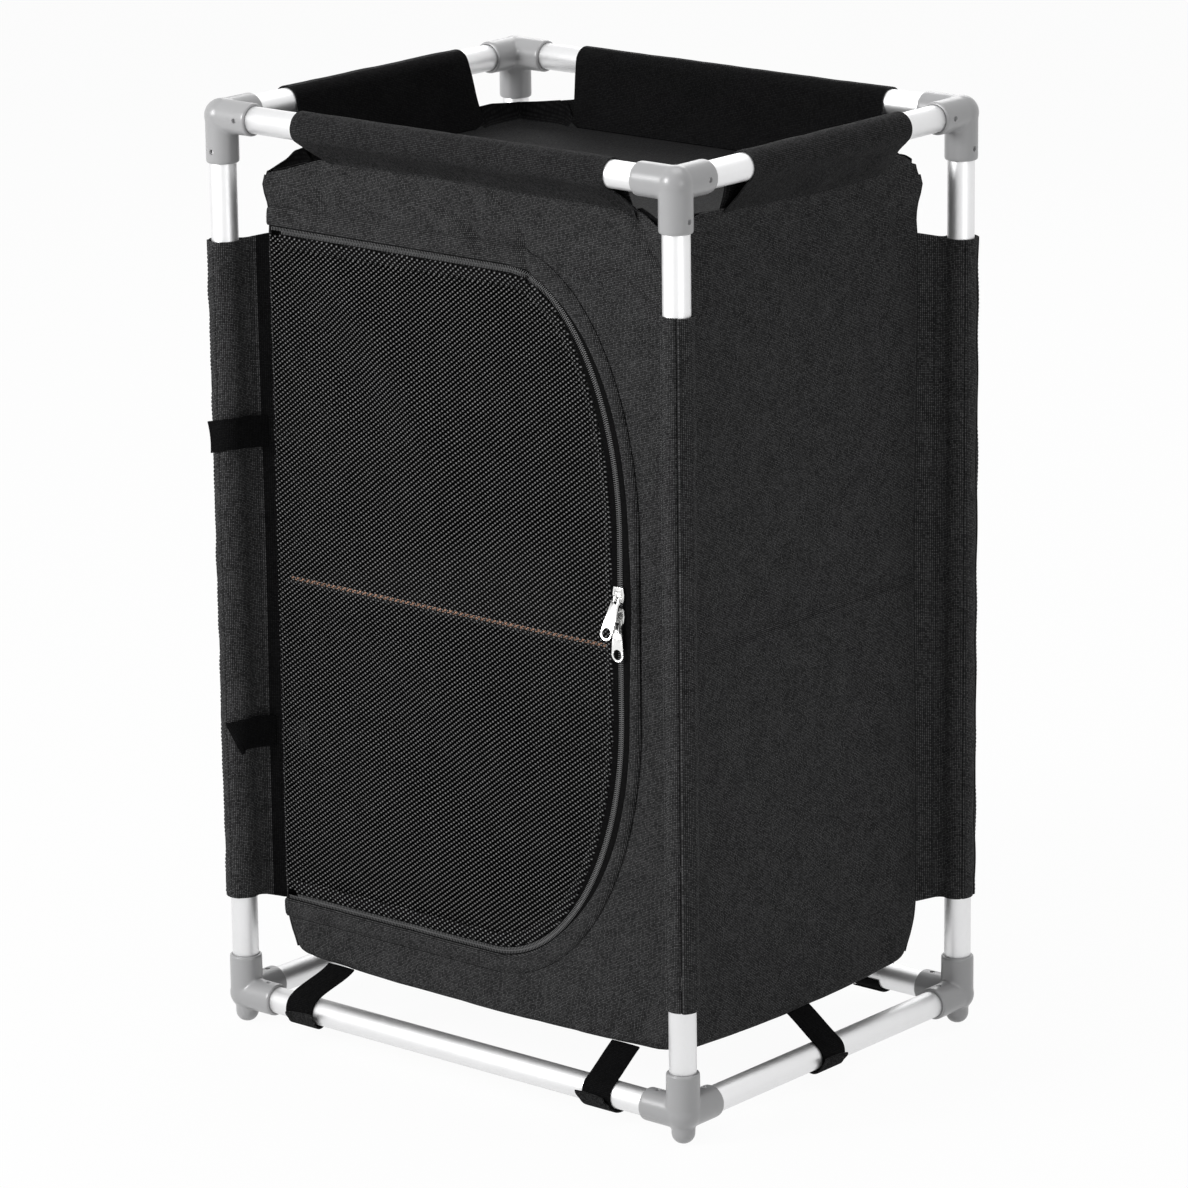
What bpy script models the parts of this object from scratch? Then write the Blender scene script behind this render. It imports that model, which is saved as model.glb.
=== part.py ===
"""Camping cupboard.

A knock-down frame of twelve aluminium tubes, plugged into eight moulded
three-way corners, carries a soft fabric cupboard. Sleeves round the posts and
the upper rails hold the cover, straps tie it to the lower rails, and three
fibreboards make the table top, the shelf and the floor. The mesh door opens on
its left edge when the two zip sliders have run round its curved edge.

Metres, +Z up, the front is -Y. The origin is on the ground, in the middle of
the frame.
"""

import math

import bmesh
import bpy
from mathutils import Matrix, Quaternion, Vector

# Frame: distances between the tubes' axes, and the tubes themselves
FRAME_WIDTH = 0.468
FRAME_DEPTH = 0.360
FRAME_HEIGHT = 0.740
LOWER_RAIL_HEIGHT = 0.025
TUBE_DIAMETER = 0.022
TUBE_WALL = 0.0012

# Corners: sockets are measured from the point where their axes meet
SOCKET_CLEARANCE = 0.0003
SOCKET_WALL = 0.0022
SOCKET_WEB = 0.0018
ARM_REACH = 0.0355
UPPER_LEG_REACH = 0.038
LOWER_LEG_REACH = 0.034
MOUTH_CHAMFER = 0.0012
HUB_SWELL = 0.0005
PIN_HOLE_DIAMETER = 0.004
PIN_HOLE_FROM_MOUTH = 0.010
FOOT_DIAMETER = 0.019

# Fit between pieces that touch
GAP = 0.0003

# Cover: a box of fabric that hangs inside the frame
COVER_INSET = 0.024
COVER_TOP_DROP = 0.0505
COVER_GROUND_CLEARANCE = 0.060
FABRIC = 0.0013

# Boards, and the shelf's place above the floor board
BOARD = 0.003
BOARD_MARGIN = 0.004
BOARD_CORNER_RADIUS = 0.010
LOWER_ROOM_HEIGHT = 0.3154

# Sleeves round the rails and the posts
SLEEVE_EASE = 0.0004
SKIRT_SETBACK = 0.074
SKIRT_TAPER = 0.018
SKIRT_OVERLAP = 0.0013
POST_SLEEVE_TOP_SETBACK = 0.101
POST_SLEEVE_BOTTOM_SETBACK = 0.086

# Door: the line of the zip, as distances from the edges of the front panel
DOOR_TOP_MARGIN = 0.0425
DOOR_BOTTOM_MARGIN = 0.050
DOOR_SIDE_MARGIN = 0.053
DOOR_HINGE_MARGIN = 0.0015
UPPER_CURVE_WIDTH = 0.112
UPPER_CURVE_HEIGHT = 0.200
LOWER_CURVE_WIDTH = 0.137
LOWER_CURVE_HEIGHT = 0.2185

# Zip: measured from the middle of the chain
CHAIN_WIDTH = 0.006
CHAIN_THICKNESS = 0.0017
TAPE_WIDTH = 0.0125
TAPE_THICKNESS = 0.0008
FABRIC_EDGE = 0.0045
ZIP_START_MARGIN = 0.0035

# Zip sliders and their pulls
SLIDER_WIDTH = 0.0116
SLIDER_LENGTH = 0.0120
SLIDER_THICKNESS = 0.0020
SLIDER_END_WIDTH = 0.0094
SLIDER_BELOW_CURVE = 0.0437
SLIDER_SPACING = 0.0168
BAIL_WIDTH = 0.0016
BAIL_WALL = 0.0009
BAIL_LENGTH = 0.0070
BAIL_CLEAR_HEIGHT = 0.0024
PULL_THICKNESS = 0.0012
PULL_LENGTH = 0.0362
PULL_HEAD_WIDTH = 0.0070
PULL_TIP_WIDTH = 0.0116
PULL_BAR = 0.0014
PULL_WINDOW_WIDTH = 0.0036
PULL_WINDOW_LENGTH = 0.0050
PULL_EYE_DIAMETER = 0.0084
PULL_LEAN = math.radians(10.0)
PULL_REST_GAP = 0.0003

# Straps to the lower rails
STRAP_WIDTH = 0.028
STRAP_THICKNESS = 0.0015
STRAP_SETBACK = 0.082
STRAP_WRAP = math.radians(225.0)

# Ties that hold the rolled-up door
TIE_HEIGHT = 0.022
TIE_THICKNESS = 0.0012
TIE_WRAP = math.radians(95.0)
UPPER_TIE_DROP = 0.2095
LOWER_TIE_DROP = 0.4630
INNER_TIE_LENGTH = 0.024
UPPER_INNER_TIE_TURN = math.radians(55.0)
LOWER_INNER_TIE_TURN = math.radians(6.0)

# Facets
ROUND_STEPS = 20
HUB_RINGS = 10
FOOT_STEPS = 5
CURVE_STEPS = 10
WRAP_STEPS = 12
SMALL_ROUND_STEPS = 12
FACET = math.tau / ROUND_STEPS
ARM_X_SPIN = 0.15 * FACET
ARM_Y_SPIN = 0.30 * FACET
LEG_SPIN = 0.42 * FACET
FOOT_SPIN = 0.25 * FACET
SMOOTH_ANGLE = math.radians(35.0)
MERGE = 0.00001

# Heights and half sizes worked out from the driving dimensions
HALF_WIDTH = FRAME_WIDTH / 2
HALF_DEPTH = FRAME_DEPTH / 2
UPPER_RAIL_HEIGHT = LOWER_RAIL_HEIGHT + FRAME_HEIGHT
TUBE_RADIUS = TUBE_DIAMETER / 2
BORE_RADIUS = TUBE_RADIUS + SOCKET_CLEARANCE
SOCKET_RADIUS = BORE_RADIUS + SOCKET_WALL
SOCKET_ROOT = SOCKET_WEB / 4
SOCKET_FLOOR = BORE_RADIUS + SOCKET_WEB
TUBE_START = SOCKET_FLOOR + GAP

COVER_X = HALF_WIDTH - COVER_INSET
COVER_Y = HALF_DEPTH - COVER_INSET
COVER_TOP = UPPER_RAIL_HEIGHT - COVER_TOP_DROP
COVER_BOTTOM = COVER_GROUND_CLEARANCE
WALL_TOP = COVER_TOP - FABRIC - GAP
WALL_BOTTOM = COVER_BOTTOM + FABRIC + GAP
INNER_X = COVER_X - FABRIC - GAP
INNER_Y = COVER_Y - FABRIC - GAP
FLOOR_BOARD_TOP = WALL_BOTTOM + BOARD
SHELF_BOARD_TOP = FLOOR_BOARD_TOP + LOWER_ROOM_HEIGHT + BOARD

SLEEVE_INNER = TUBE_RADIUS + SLEEVE_EASE
SLEEVE_OUTER = SLEEVE_INNER + FABRIC

ZIP_TOP = COVER_TOP - DOOR_TOP_MARGIN
ZIP_BOTTOM = COVER_BOTTOM + DOOR_BOTTOM_MARGIN
ZIP_RIGHT = COVER_X - DOOR_SIDE_MARGIN
HINGE_X = -COVER_X + DOOR_HINGE_MARGIN
TAPE_BACK = -COVER_Y - GAP
TAPE_FRONT = TAPE_BACK - TAPE_THICKNESS
CHAIN_FRONT = TAPE_BACK - CHAIN_THICKNESS
HINGE_Y = -COVER_Y

SLIDER_BACK = CHAIN_FRONT - GAP
SLIDER_FRONT = SLIDER_BACK - SLIDER_THICKNESS
UPPER_SLIDER_HEIGHT = ZIP_TOP - UPPER_CURVE_HEIGHT - SLIDER_BELOW_CURVE
LOWER_SLIDER_HEIGHT = UPPER_SLIDER_HEIGHT - SLIDER_SPACING
BAIL_FRONT = SLIDER_FRONT - BAIL_CLEAR_HEIGHT - BAIL_WALL
PULL_AXIS_Y = SLIDER_FRONT - BAIL_CLEAR_HEIGHT / 2
PULL_AXIS_DROP = BAIL_LENGTH / 2 - BAIL_WALL - PULL_BAR / 2 - GAP

# Sides, as the direction from each rail towards the middle of the frame
SIDES = {
    "front": Vector((0, 1, 0)),
    "back": Vector((0, -1, 0)),
    "left": Vector((1, 0, 0)),
    "right": Vector((-1, 0, 0)),
}
UP = Vector((0, 0, 1))


def empty_file():
    """Removes every object and makes the two collections."""
    for item in list(bpy.data.objects):
        bpy.data.objects.remove(item, do_unlink=True)
    for name in ("camping_cupboard", "cutters"):
        collection = bpy.data.collections.new(name)
        bpy.context.scene.collection.children.link(collection)


def finish(name, colour, roughness, metallic=0.0):
    """Makes one material."""
    material = bpy.data.materials.new(name)
    material.use_nodes = True
    shader = material.node_tree.nodes["Principled BSDF"]
    shader.inputs["Base Color"].default_value = (*colour, 1.0)
    shader.inputs["Roughness"].default_value = roughness
    shader.inputs["Metallic"].default_value = metallic
    material.diffuse_color = (*colour, 1.0)
    return material


def place(name, data, material=None, cutter=False):
    """Adds an object to its collection, and hides it if it only cuts."""
    item = bpy.data.objects.new(name, data)
    collection = "cutters" if cutter else "camping_cupboard"
    bpy.data.collections[collection].objects.link(item)
    if material:
        data.materials.append(material)
    if cutter:
        item.hide_render = True
        item.display_type = "WIRE"
    return item


def aim(item, start, direction, spin=0.0):
    """Puts an object at a point, turns its Z axis along a direction and spins it."""
    item.location = start
    turn = Vector(direction).to_track_quat("Z", "Y") @ Quaternion((0, 0, 1), spin)
    item.rotation_euler = turn.to_euler()
    return item


def set_axes(item, origin, x_axis, y_axis):
    """Puts an object at a point with its X and Y axes along two directions."""
    x_axis = Vector(x_axis).normalized()
    y_axis = Vector(y_axis).normalized()
    turn = Matrix((x_axis, y_axis, x_axis.cross(y_axis))).transposed()
    item.location = origin
    item.rotation_euler = turn.to_euler()
    return item


def attach(child, parent):
    """Parents an object and keeps its place in the world."""
    bpy.context.view_layer.update()
    child.parent = parent
    child.matrix_parent_inverse = parent.matrix_world.inverted()
    return child


def pivot(name, point):
    """Adds an empty on a joint's axis."""
    item = bpy.data.objects.new(name, None)
    item.empty_display_size = 0.02
    item.location = point
    bpy.data.collections["camping_cupboard"].objects.link(item)
    return item


def smooth(mesh):
    """Shades the round faces smooth and leaves the real edges sharp."""
    mesh.shade_smooth()
    mesh.set_sharp_from_angle(angle=SMOOTH_ANGLE)


def box(name, low, high, material):
    """Adds a box between two corners, with its origin in the middle."""
    low = Vector(low)
    high = Vector(high)
    mesh = bpy.data.meshes.new(name)
    shape = bmesh.new()
    bmesh.ops.create_cube(shape, size=1.0)
    bmesh.ops.scale(shape, vec=high - low, verts=shape.verts)
    shape.to_mesh(mesh)
    shape.free()
    item = place(name, mesh, material)
    item.location = (low + high) / 2
    return item


def turned(name, profile, material=None, closed=False, cutter=False):
    """Turns a profile of (radius, height) points round the Z axis.

    The profile runs down the outer side, from top to bottom. An open profile
    starts and ends on the axis, and a closed one makes a ring.
    """
    mesh = bpy.data.meshes.new(name)
    shape = bmesh.new()
    points = [shape.verts.new((radius, 0.0, height)) for radius, height in profile]
    for first, second in zip(points, points[1:]):
        shape.edges.new((first, second))
    if closed:
        shape.edges.new((points[-1], points[0]))
    shape.to_mesh(mesh)
    shape.free()
    item = place(name, mesh, material, cutter)
    screw = item.modifiers.new("turn", "SCREW")
    screw.axis = "Z"
    screw.angle = math.tau
    screw.steps = ROUND_STEPS
    screw.render_steps = ROUND_STEPS
    screw.use_merge_vertices = True
    screw.merge_threshold = MERGE
    screw.use_smooth_shade = True
    return item


def rods(name, placed, radius, steps):
    """Adds one cutter of several cylinders, each from a start to an end point."""
    mesh = bpy.data.meshes.new(name)
    shape = bmesh.new()
    for start, end in placed:
        start = Vector(start)
        along = Vector(end) - start
        turn = along.to_track_quat("Z", "Y").to_matrix().to_4x4()
        matrix = Matrix.Translation(start + along / 2) @ turn
        bmesh.ops.create_cone(shape, cap_ends=True, segments=steps, radius1=radius,
                              radius2=radius, depth=along.length, matrix=matrix)
    shape.to_mesh(mesh)
    shape.free()
    return place(name, mesh, cutter=True)


def boolean(item, other, operation):
    """Joins another solid to an object, or cuts it away."""
    modifier = item.modifiers.new(other.name, "BOOLEAN")
    modifier.object = other
    modifier.operation = operation
    modifier.solver = "EXACT"


def outline(name, loops, thickness, material=None, cutter=False):
    """Adds a flat piece in its own XY plane, from an outline and its holes."""
    curve = bpy.data.curves.new(name, "CURVE")
    curve.dimensions = "2D"
    curve.fill_mode = "BOTH"
    curve.extrude = thickness / 2
    for loop in loops:
        spline = curve.splines.new("POLY")
        spline.points.add(len(loop) - 1)
        for point, (x, y) in zip(spline.points, loop):
            point.co = (x, y, 0.0, 1.0)
        spline.use_cyclic_u = True
    item = place(name, curve, cutter=cutter)
    bpy.context.view_layer.update()
    evaluated = item.evaluated_get(bpy.context.evaluated_depsgraph_get())
    mesh = bpy.data.meshes.new_from_object(evaluated)
    mesh.name = name
    bpy.data.objects.remove(item, do_unlink=True)
    bpy.data.curves.remove(curve)
    shape = bmesh.new()
    shape.from_mesh(mesh)
    bmesh.ops.remove_doubles(shape, verts=shape.verts, dist=MERGE)
    bmesh.ops.recalc_face_normals(shape, faces=shape.faces)
    shape.to_mesh(mesh)
    shape.free()
    smooth(mesh)
    return place(name, mesh, material, cutter)


def circle(radius, steps, centre=(0.0, 0.0)):
    """Gives the points of a circle."""
    turns = [math.tau * step / steps for step in range(steps)]
    return [(centre[0] + radius * math.cos(turn), centre[1] + radius * math.sin(turn))
            for turn in turns]


def rounded_rectangle(half_x, half_y, radius):
    """Gives the points of a rectangle with round corners."""
    points = []
    steps = CURVE_STEPS // 2
    for quarter, (sign_x, sign_y) in enumerate(((1, 1), (-1, 1), (-1, -1), (1, -1))):
        for step in range(steps + 1):
            turn = math.pi / 2 * (quarter + step / steps)
            points.append((sign_x * (half_x - radius) + radius * math.cos(turn),
                           sign_y * (half_y - radius) + radius * math.sin(turn)))
    return points


def keyhole(radius, half_tail, tail_end):
    """Gives a ring's outer edge with a straight tail that ends on +X."""
    spread = math.asin(half_tail / radius)
    points = [(tail_end, -half_tail), (tail_end, half_tail)]
    for step in range(ROUND_STEPS + 1):
        turn = spread + (math.tau - 2 * spread) * step / ROUND_STEPS
        points.append((radius * math.cos(turn), radius * math.sin(turn)))
    return points


def wrapped_band(anchor, radius, thickness, wrap, turn):
    """Gives the edge of a band that runs from a point to a tube and round it.

    The tube's axis is at (0, 0) and the radius is to the middle of the band.
    The band leaves the anchor on the tangent, and turn is 1 where it then goes
    anticlockwise and -1 where it goes clockwise. The points are given from the
    anchor.
    """
    anchor = Vector(anchor)
    start = math.atan2(anchor.y, anchor.x) + turn * math.acos(radius / anchor.length)
    middle = [anchor]
    sides = []
    for step in range(WRAP_STEPS + 1):
        angle = start + turn * wrap * step / WRAP_STEPS
        out = Vector((math.cos(angle), math.sin(angle)))
        middle.append(out * radius)
        sides.append(out)
    sides.insert(0, sides[0])
    outer = [point + side * thickness / 2 - anchor for point, side in zip(middle, sides)]
    inner = [point - side * thickness / 2 - anchor for point, side in zip(middle, sides)]
    return [tuple(point) for point in outer + inner[::-1]]


def zip_line(offset, left):
    """Gives the zip's line as (x, z) points, from its upper to its lower end.

    The line runs along the top, down the curved right side and back along the
    bottom. A positive offset moves it outwards, away from the door.
    """
    points = [(left, ZIP_TOP + offset)]
    corners = (
        (UPPER_CURVE_WIDTH, UPPER_CURVE_HEIGHT, 1, ZIP_TOP - UPPER_CURVE_HEIGHT),
        (LOWER_CURVE_WIDTH, LOWER_CURVE_HEIGHT, -1, ZIP_BOTTOM + LOWER_CURVE_HEIGHT),
    )
    for width, height, side, middle in corners:
        arc = []
        for step in range(CURVE_STEPS + 1):
            turn = math.pi / 2 * step / CURVE_STEPS
            normal = Vector((math.sin(turn) / width, math.cos(turn) / height)).normalized()
            arc.append((ZIP_RIGHT - width + width * math.sin(turn) + normal.x * offset,
                        middle + side * (height * math.cos(turn) + normal.y * offset)))
        points += arc if side > 0 else arc[::-1]
    points.append((left, ZIP_BOTTOM - offset))
    return points


def flat_front(item, depth_middle):
    """Stands a flat piece up in the front plane, with its Y axis upwards."""
    return set_axes(item, (0.0, depth_middle, 0.0), (1, 0, 0), (0, 0, 1))


def tube(name, start, end, material):
    """Adds a tube between two corner points, cut to length for its sockets."""
    start = Vector(start)
    direction = (Vector(end) - start).normalized()
    length = (Vector(end) - start).length - 2 * TUBE_START
    inner = TUBE_RADIUS - TUBE_WALL
    profile = [(TUBE_RADIUS, length), (TUBE_RADIUS, 0.0), (inner, 0.0), (inner, length)]
    item = turned(name, profile, material, closed=True)
    return aim(item, start + direction * TUBE_START, direction)


def make_frame(metal):
    """Adds the four posts and the eight rails."""
    for end, y in (("front", -HALF_DEPTH), ("back", HALF_DEPTH)):
        for side, x in (("left", -HALF_WIDTH), ("right", HALF_WIDTH)):
            tube(f"post_{end}_{side}", (x, y, LOWER_RAIL_HEIGHT), (x, y, UPPER_RAIL_HEIGHT), metal)
    for level, z in (("lower", LOWER_RAIL_HEIGHT), ("upper", UPPER_RAIL_HEIGHT)):
        for end, y in (("front", -HALF_DEPTH), ("back", HALF_DEPTH)):
            tube(f"{level}_rail_{end}", (-HALF_WIDTH, y, z), (HALF_WIDTH, y, z), metal)
        for side, x in (("left", -HALF_WIDTH), ("right", HALF_WIDTH)):
            tube(f"{level}_rail_{side}", (x, -HALF_DEPTH, z), (x, HALF_DEPTH, z), metal)


def socket(name, centre, direction, reach, spin, material=None, cutter=True):
    """Adds one solid arm of a corner, with a chamfered mouth.

    Each arm is spun by its own part of a facet, so that the edges of two arms
    or of an arm and the hub cross, and never fall on one another.
    """
    profile = [(0.0, reach), (SOCKET_RADIUS - MOUTH_CHAMFER, reach),
               (SOCKET_RADIUS, reach - MOUTH_CHAMFER), (SOCKET_RADIUS, SOCKET_ROOT),
               (0.0, SOCKET_ROOT)]
    item = turned(name, profile, material, cutter=cutter)
    return aim(item, centre, direction, spin)


def hub(name, centre):
    """Adds the ball that rounds a corner off where its arms meet."""
    mesh = bpy.data.meshes.new(name)
    shape = bmesh.new()
    bmesh.ops.create_uvsphere(shape, u_segments=ROUND_STEPS, v_segments=HUB_RINGS,
                              radius=SOCKET_RADIUS + HUB_SWELL)
    shape.to_mesh(mesh)
    shape.free()
    item = place(name, mesh, cutter=True)
    item.location = centre
    return item


def foot(name, centre):
    """Adds the round-ended foot below a lower corner."""
    radius = FOOT_DIAMETER / 2
    profile = [(0.0, -SOCKET_ROOT), (radius, -SOCKET_ROOT)]
    for step in range(FOOT_STEPS):
        turn = math.pi / 2 * step / FOOT_STEPS
        profile.append((radius * math.cos(turn),
                        radius - LOWER_RAIL_HEIGHT - radius * math.sin(turn)))
    profile.append((0.0, -LOWER_RAIL_HEIGHT))
    return aim(turned(name, profile, cutter=True), centre, UP, FOOT_SPIN)


def corner(name, centre, inward_x, inward_y, upper, material):
    """Adds one moulded corner with two arms and a leg.

    The sockets are bored for the tubes and drilled for their pins. Pins are on
    the outer faces of the upper corners and on top of the lower ones.
    """
    centre = Vector(centre)
    arm_x = Vector((inward_x, 0, 0))
    arm_y = Vector((0, inward_y, 0))
    leg = -UP if upper else UP
    leg_reach = UPPER_LEG_REACH if upper else LOWER_LEG_REACH
    item = socket(name, centre, leg, leg_reach, LEG_SPIN, material, cutter=False)
    boolean(item, socket(f"{name}_arm_x", centre, arm_x, ARM_REACH, ARM_X_SPIN), "UNION")
    boolean(item, socket(f"{name}_arm_y", centre, arm_y, ARM_REACH, ARM_Y_SPIN), "UNION")
    boolean(item, hub(f"{name}_hub", centre), "UNION")
    if not upper:
        boolean(item, foot(f"{name}_foot", centre), "UNION")
    reaches = ((arm_x, ARM_REACH), (arm_y, ARM_REACH), (leg, leg_reach))
    bores = [(centre + way * SOCKET_FLOOR, centre + way * (reach + MOUTH_CHAMFER))
             for way, reach in reaches]
    boolean(item, rods(f"{name}_bores", bores, BORE_RADIUS, ROUND_STEPS), "DIFFERENCE")
    if not upper:
        pinned = ((arm_x, ARM_REACH, UP), (arm_y, ARM_REACH, UP))
    elif inward_x > 0:
        pinned = ((arm_x, ARM_REACH, -arm_y), (leg, leg_reach, -arm_y))
    else:
        pinned = ((arm_y, ARM_REACH, -arm_x), (leg, leg_reach, -arm_x))
    holes = []
    for way, reach, face in pinned:
        seat = centre + way * (reach - PIN_HOLE_FROM_MOUTH)
        holes.append((seat + face * TUBE_RADIUS / 2, seat + face * (SOCKET_RADIUS + SOCKET_WALL)))
    drill = rods(f"{name}_holes", holes, PIN_HOLE_DIAMETER / 2, SMALL_ROUND_STEPS)
    boolean(item, drill, "DIFFERENCE")
    return item


def make_corners(plastic):
    """Adds the eight corners."""
    for level, z in (("lower", LOWER_RAIL_HEIGHT), ("upper", UPPER_RAIL_HEIGHT)):
        for end, y, inward_y in (("front", -HALF_DEPTH, 1), ("back", HALF_DEPTH, -1)):
            for side, x, inward_x in (("left", -HALF_WIDTH, 1), ("right", HALF_WIDTH, -1)):
                corner(f"{level}_corner_{end}_{side}", (x, y, z), inward_x, inward_y,
                       level == "upper", plastic)


def make_cover(fabric):
    """Adds the cover's walls, floor and table top, and the shelf's sling."""
    box("floor_panel", (-COVER_X, -COVER_Y, COVER_BOTTOM),
        (COVER_X, COVER_Y, COVER_BOTTOM + FABRIC), fabric)
    box("top_panel", (-COVER_X, -COVER_Y, COVER_TOP - FABRIC), (COVER_X, COVER_Y, COVER_TOP),
        fabric)
    box("back_panel", (-COVER_X, COVER_Y - FABRIC, WALL_BOTTOM), (COVER_X, COVER_Y, WALL_TOP),
        fabric)
    for side, sign in (("left", -1), ("right", 1)):
        outer = sign * COVER_X
        inner = sign * (COVER_X - FABRIC)
        box(f"{side}_panel", (min(outer, inner), -INNER_Y, WALL_BOTTOM),
            (max(outer, inner), INNER_Y, WALL_TOP), fabric)
    sling_top = SHELF_BOARD_TOP - BOARD - GAP
    box("shelf_sling", (-INNER_X, -INNER_Y, sling_top - FABRIC), (INNER_X, INNER_Y, sling_top),
        fabric)
    pocket_top = WALL_TOP - BOARD - GAP
    box("top_board_pocket", (-INNER_X, -INNER_Y, pocket_top - FABRIC),
        (INNER_X, INNER_Y, pocket_top), fabric)


def make_front_panel(fabric):
    """Adds the front panel, cut out along the outside of the zip."""
    edge = zip_line(FABRIC_EDGE, -COVER_X)
    loop = edge + [(-COVER_X, WALL_BOTTOM), (COVER_X, WALL_BOTTOM), (COVER_X, WALL_TOP),
                   (-COVER_X, WALL_TOP)]
    flat_front(outline("front_panel", [loop], FABRIC, fabric), -COVER_Y + FABRIC / 2)


def make_boards(wood):
    """Adds the three fibreboards."""
    half_x = INNER_X - BOARD_MARGIN
    half_y = INNER_Y - BOARD_MARGIN
    heights = {"floor_board": FLOOR_BOARD_TOP, "shelf_board": SHELF_BOARD_TOP, "top_board": WALL_TOP}
    for name, top in heights.items():
        item = outline(name, [rounded_rectangle(half_x, half_y, BOARD_CORNER_RADIUS)], BOARD, wood)
        item.location = (0.0, 0.0, top - BOARD / 2)


def skirt(side, fabric):
    """Adds one sleeve round an upper rail, with the skirt that hangs from it.

    The section is a ring with a tail that slants down to the outer side of the
    cover's top edge. The skirt narrows towards that edge.
    """
    inward = SIDES[side]
    across_gap = COVER_INSET - SKIRT_OVERLAP
    reach = math.hypot(across_gap, COVER_TOP_DROP) - GAP
    loops = [keyhole(SLEEVE_OUTER, FABRIC / 2, reach), circle(SLEEVE_INNER, ROUND_STEPS)]
    along_half = HALF_WIDTH if inward.x == 0 else HALF_DEPTH
    half_length = along_half - SKIRT_SETBACK
    item = outline(f"skirt_{side}", loops, 2 * half_length, fabric)
    for vertex in item.data.vertices:
        below = max(0.0, vertex.co.x - SLEEVE_OUTER) / (reach - SLEEVE_OUTER)
        vertex.co.z -= math.copysign(SKIRT_TAPER * below, vertex.co.z)
    across = HALF_DEPTH if inward.x == 0 else HALF_WIDTH
    axis = -inward * across + UP * UPPER_RAIL_HEIGHT
    tail = (inward * across_gap - UP * COVER_TOP_DROP).normalized()
    set_axes(item, axis, tail, tail.cross(inward.cross(UP)) * -1)
    return item


def post_sleeve(end, side, fabric):
    """Adds one sleeve round a post, with the web that joins it to the cover."""
    inward_x = 1 if side == "left" else -1
    inward_y = 1 if end == "front" else -1
    reach = math.hypot(COVER_INSET, COVER_INSET) - GAP
    loops = [keyhole(SLEEVE_OUTER, FABRIC / 2, reach), circle(SLEEVE_INNER, ROUND_STEPS)]
    top = UPPER_RAIL_HEIGHT - POST_SLEEVE_TOP_SETBACK
    bottom = LOWER_RAIL_HEIGHT + POST_SLEEVE_BOTTOM_SETBACK
    item = outline(f"post_sleeve_{end}_{side}", loops, top - bottom, fabric)
    tail = Vector((inward_x, inward_y, 0))
    centre = (-inward_x * HALF_WIDTH, -inward_y * HALF_DEPTH, (top + bottom) / 2)
    return set_axes(item, centre, tail, UP.cross(tail))


def make_sleeves(fabric):
    """Adds the four skirts and the four post sleeves."""
    for side in SIDES:
        skirt(side, fabric)
    for end in ("front", "back"):
        for side in ("left", "right"):
            post_sleeve(end, side, fabric)


def zip_half(name, outward, material):
    """Adds one half of the zip: a tape with half of the chain on its edge.

    The section is swept along the zip's line. Outward is 1 for the half on
    the cover and -1 for the half on the door.
    """
    near = outward * GAP / 2
    coil = outward * CHAIN_WIDTH / 2
    far = outward * TAPE_WIDTH
    tape = TAPE_BACK - TAPE_FRONT
    section = [(near, 0.0), (far, 0.0), (far, tape), (coil, tape), (coil, CHAIN_THICKNESS),
               (near, CHAIN_THICKNESS)]
    lines = [zip_line(offset, HINGE_X + ZIP_START_MARGIN) for offset, _ in section]
    mesh = bpy.data.meshes.new(name)
    shape = bmesh.new()
    rings = []
    for stations in zip(*lines):
        ring = [shape.verts.new((x, TAPE_BACK - height, z))
                for (x, z), (_, height) in zip(stations, section)]
        rings.append(ring)
    for first, second in zip(rings, rings[1:]):
        for here in range(len(section)):
            beside = (here + 1) % len(section)
            shape.faces.new((first[here], first[beside], second[beside], second[here]))
    shape.faces.new(rings[0])
    shape.faces.new(rings[-1])
    bmesh.ops.recalc_face_normals(shape, faces=shape.faces)
    shape.to_mesh(mesh)
    shape.free()
    smooth(mesh)
    return place(name, mesh, material)


def make_door(mesh_fabric, black):
    """Adds the door and its half of the zip, on an empty at the hinge line."""
    edge = zip_line(-FABRIC_EDGE, HINGE_X)
    door = flat_front(outline("door_mesh", [edge], FABRIC, mesh_fabric), -COVER_Y + FABRIC / 2)
    hinge = pivot("door_hinge", (HINGE_X, HINGE_Y, 0.0))
    attach(door, hinge)
    attach(zip_half("zip_half_door", -1, black), hinge)
    zip_half("zip_half_cover", 1, black)
    return hinge


def slider(name, height, metal):
    """Adds a zip slider: a shield-shaped plate with a bail on its face."""
    half_length = SLIDER_LENGTH / 2
    half_width = SLIDER_WIDTH / 2
    half_end = SLIDER_END_WIDTH / 2
    shield = [(-half_end, half_length), (-half_width, 0.0), (-half_end, -half_length),
              (half_end, -half_length), (half_width, 0.0), (half_end, half_length)]
    plate = outline(name, [shield], SLIDER_THICKNESS, metal)
    set_axes(plate, (ZIP_RIGHT, (SLIDER_BACK + SLIDER_FRONT) / 2, height), (1, 0, 0), (0, 0, 1))
    bevel = plate.modifiers.new("edges", "BEVEL")
    bevel.width = SLIDER_THICKNESS / 5
    bevel.segments = 1
    half_bail = BAIL_LENGTH / 2
    rise = BAIL_CLEAR_HEIGHT
    seat = -SLIDER_THICKNESS / 4
    inner = half_bail - BAIL_WALL
    arch = [(half_bail, seat), (half_bail, rise * 0.6), (inner, rise + BAIL_WALL),
            (-inner, rise + BAIL_WALL), (-half_bail, rise * 0.6), (-half_bail, seat),
            (-inner, seat), (-inner, rise), (inner, rise), (inner, seat)]
    bail = outline(f"{name}_bail", [arch], BAIL_WIDTH, cutter=True)
    set_axes(bail, (ZIP_RIGHT, SLIDER_FRONT, height), (0, 0, 1), (0, -1, 0))
    boolean(plate, bail, "UNION")
    return plate


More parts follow.
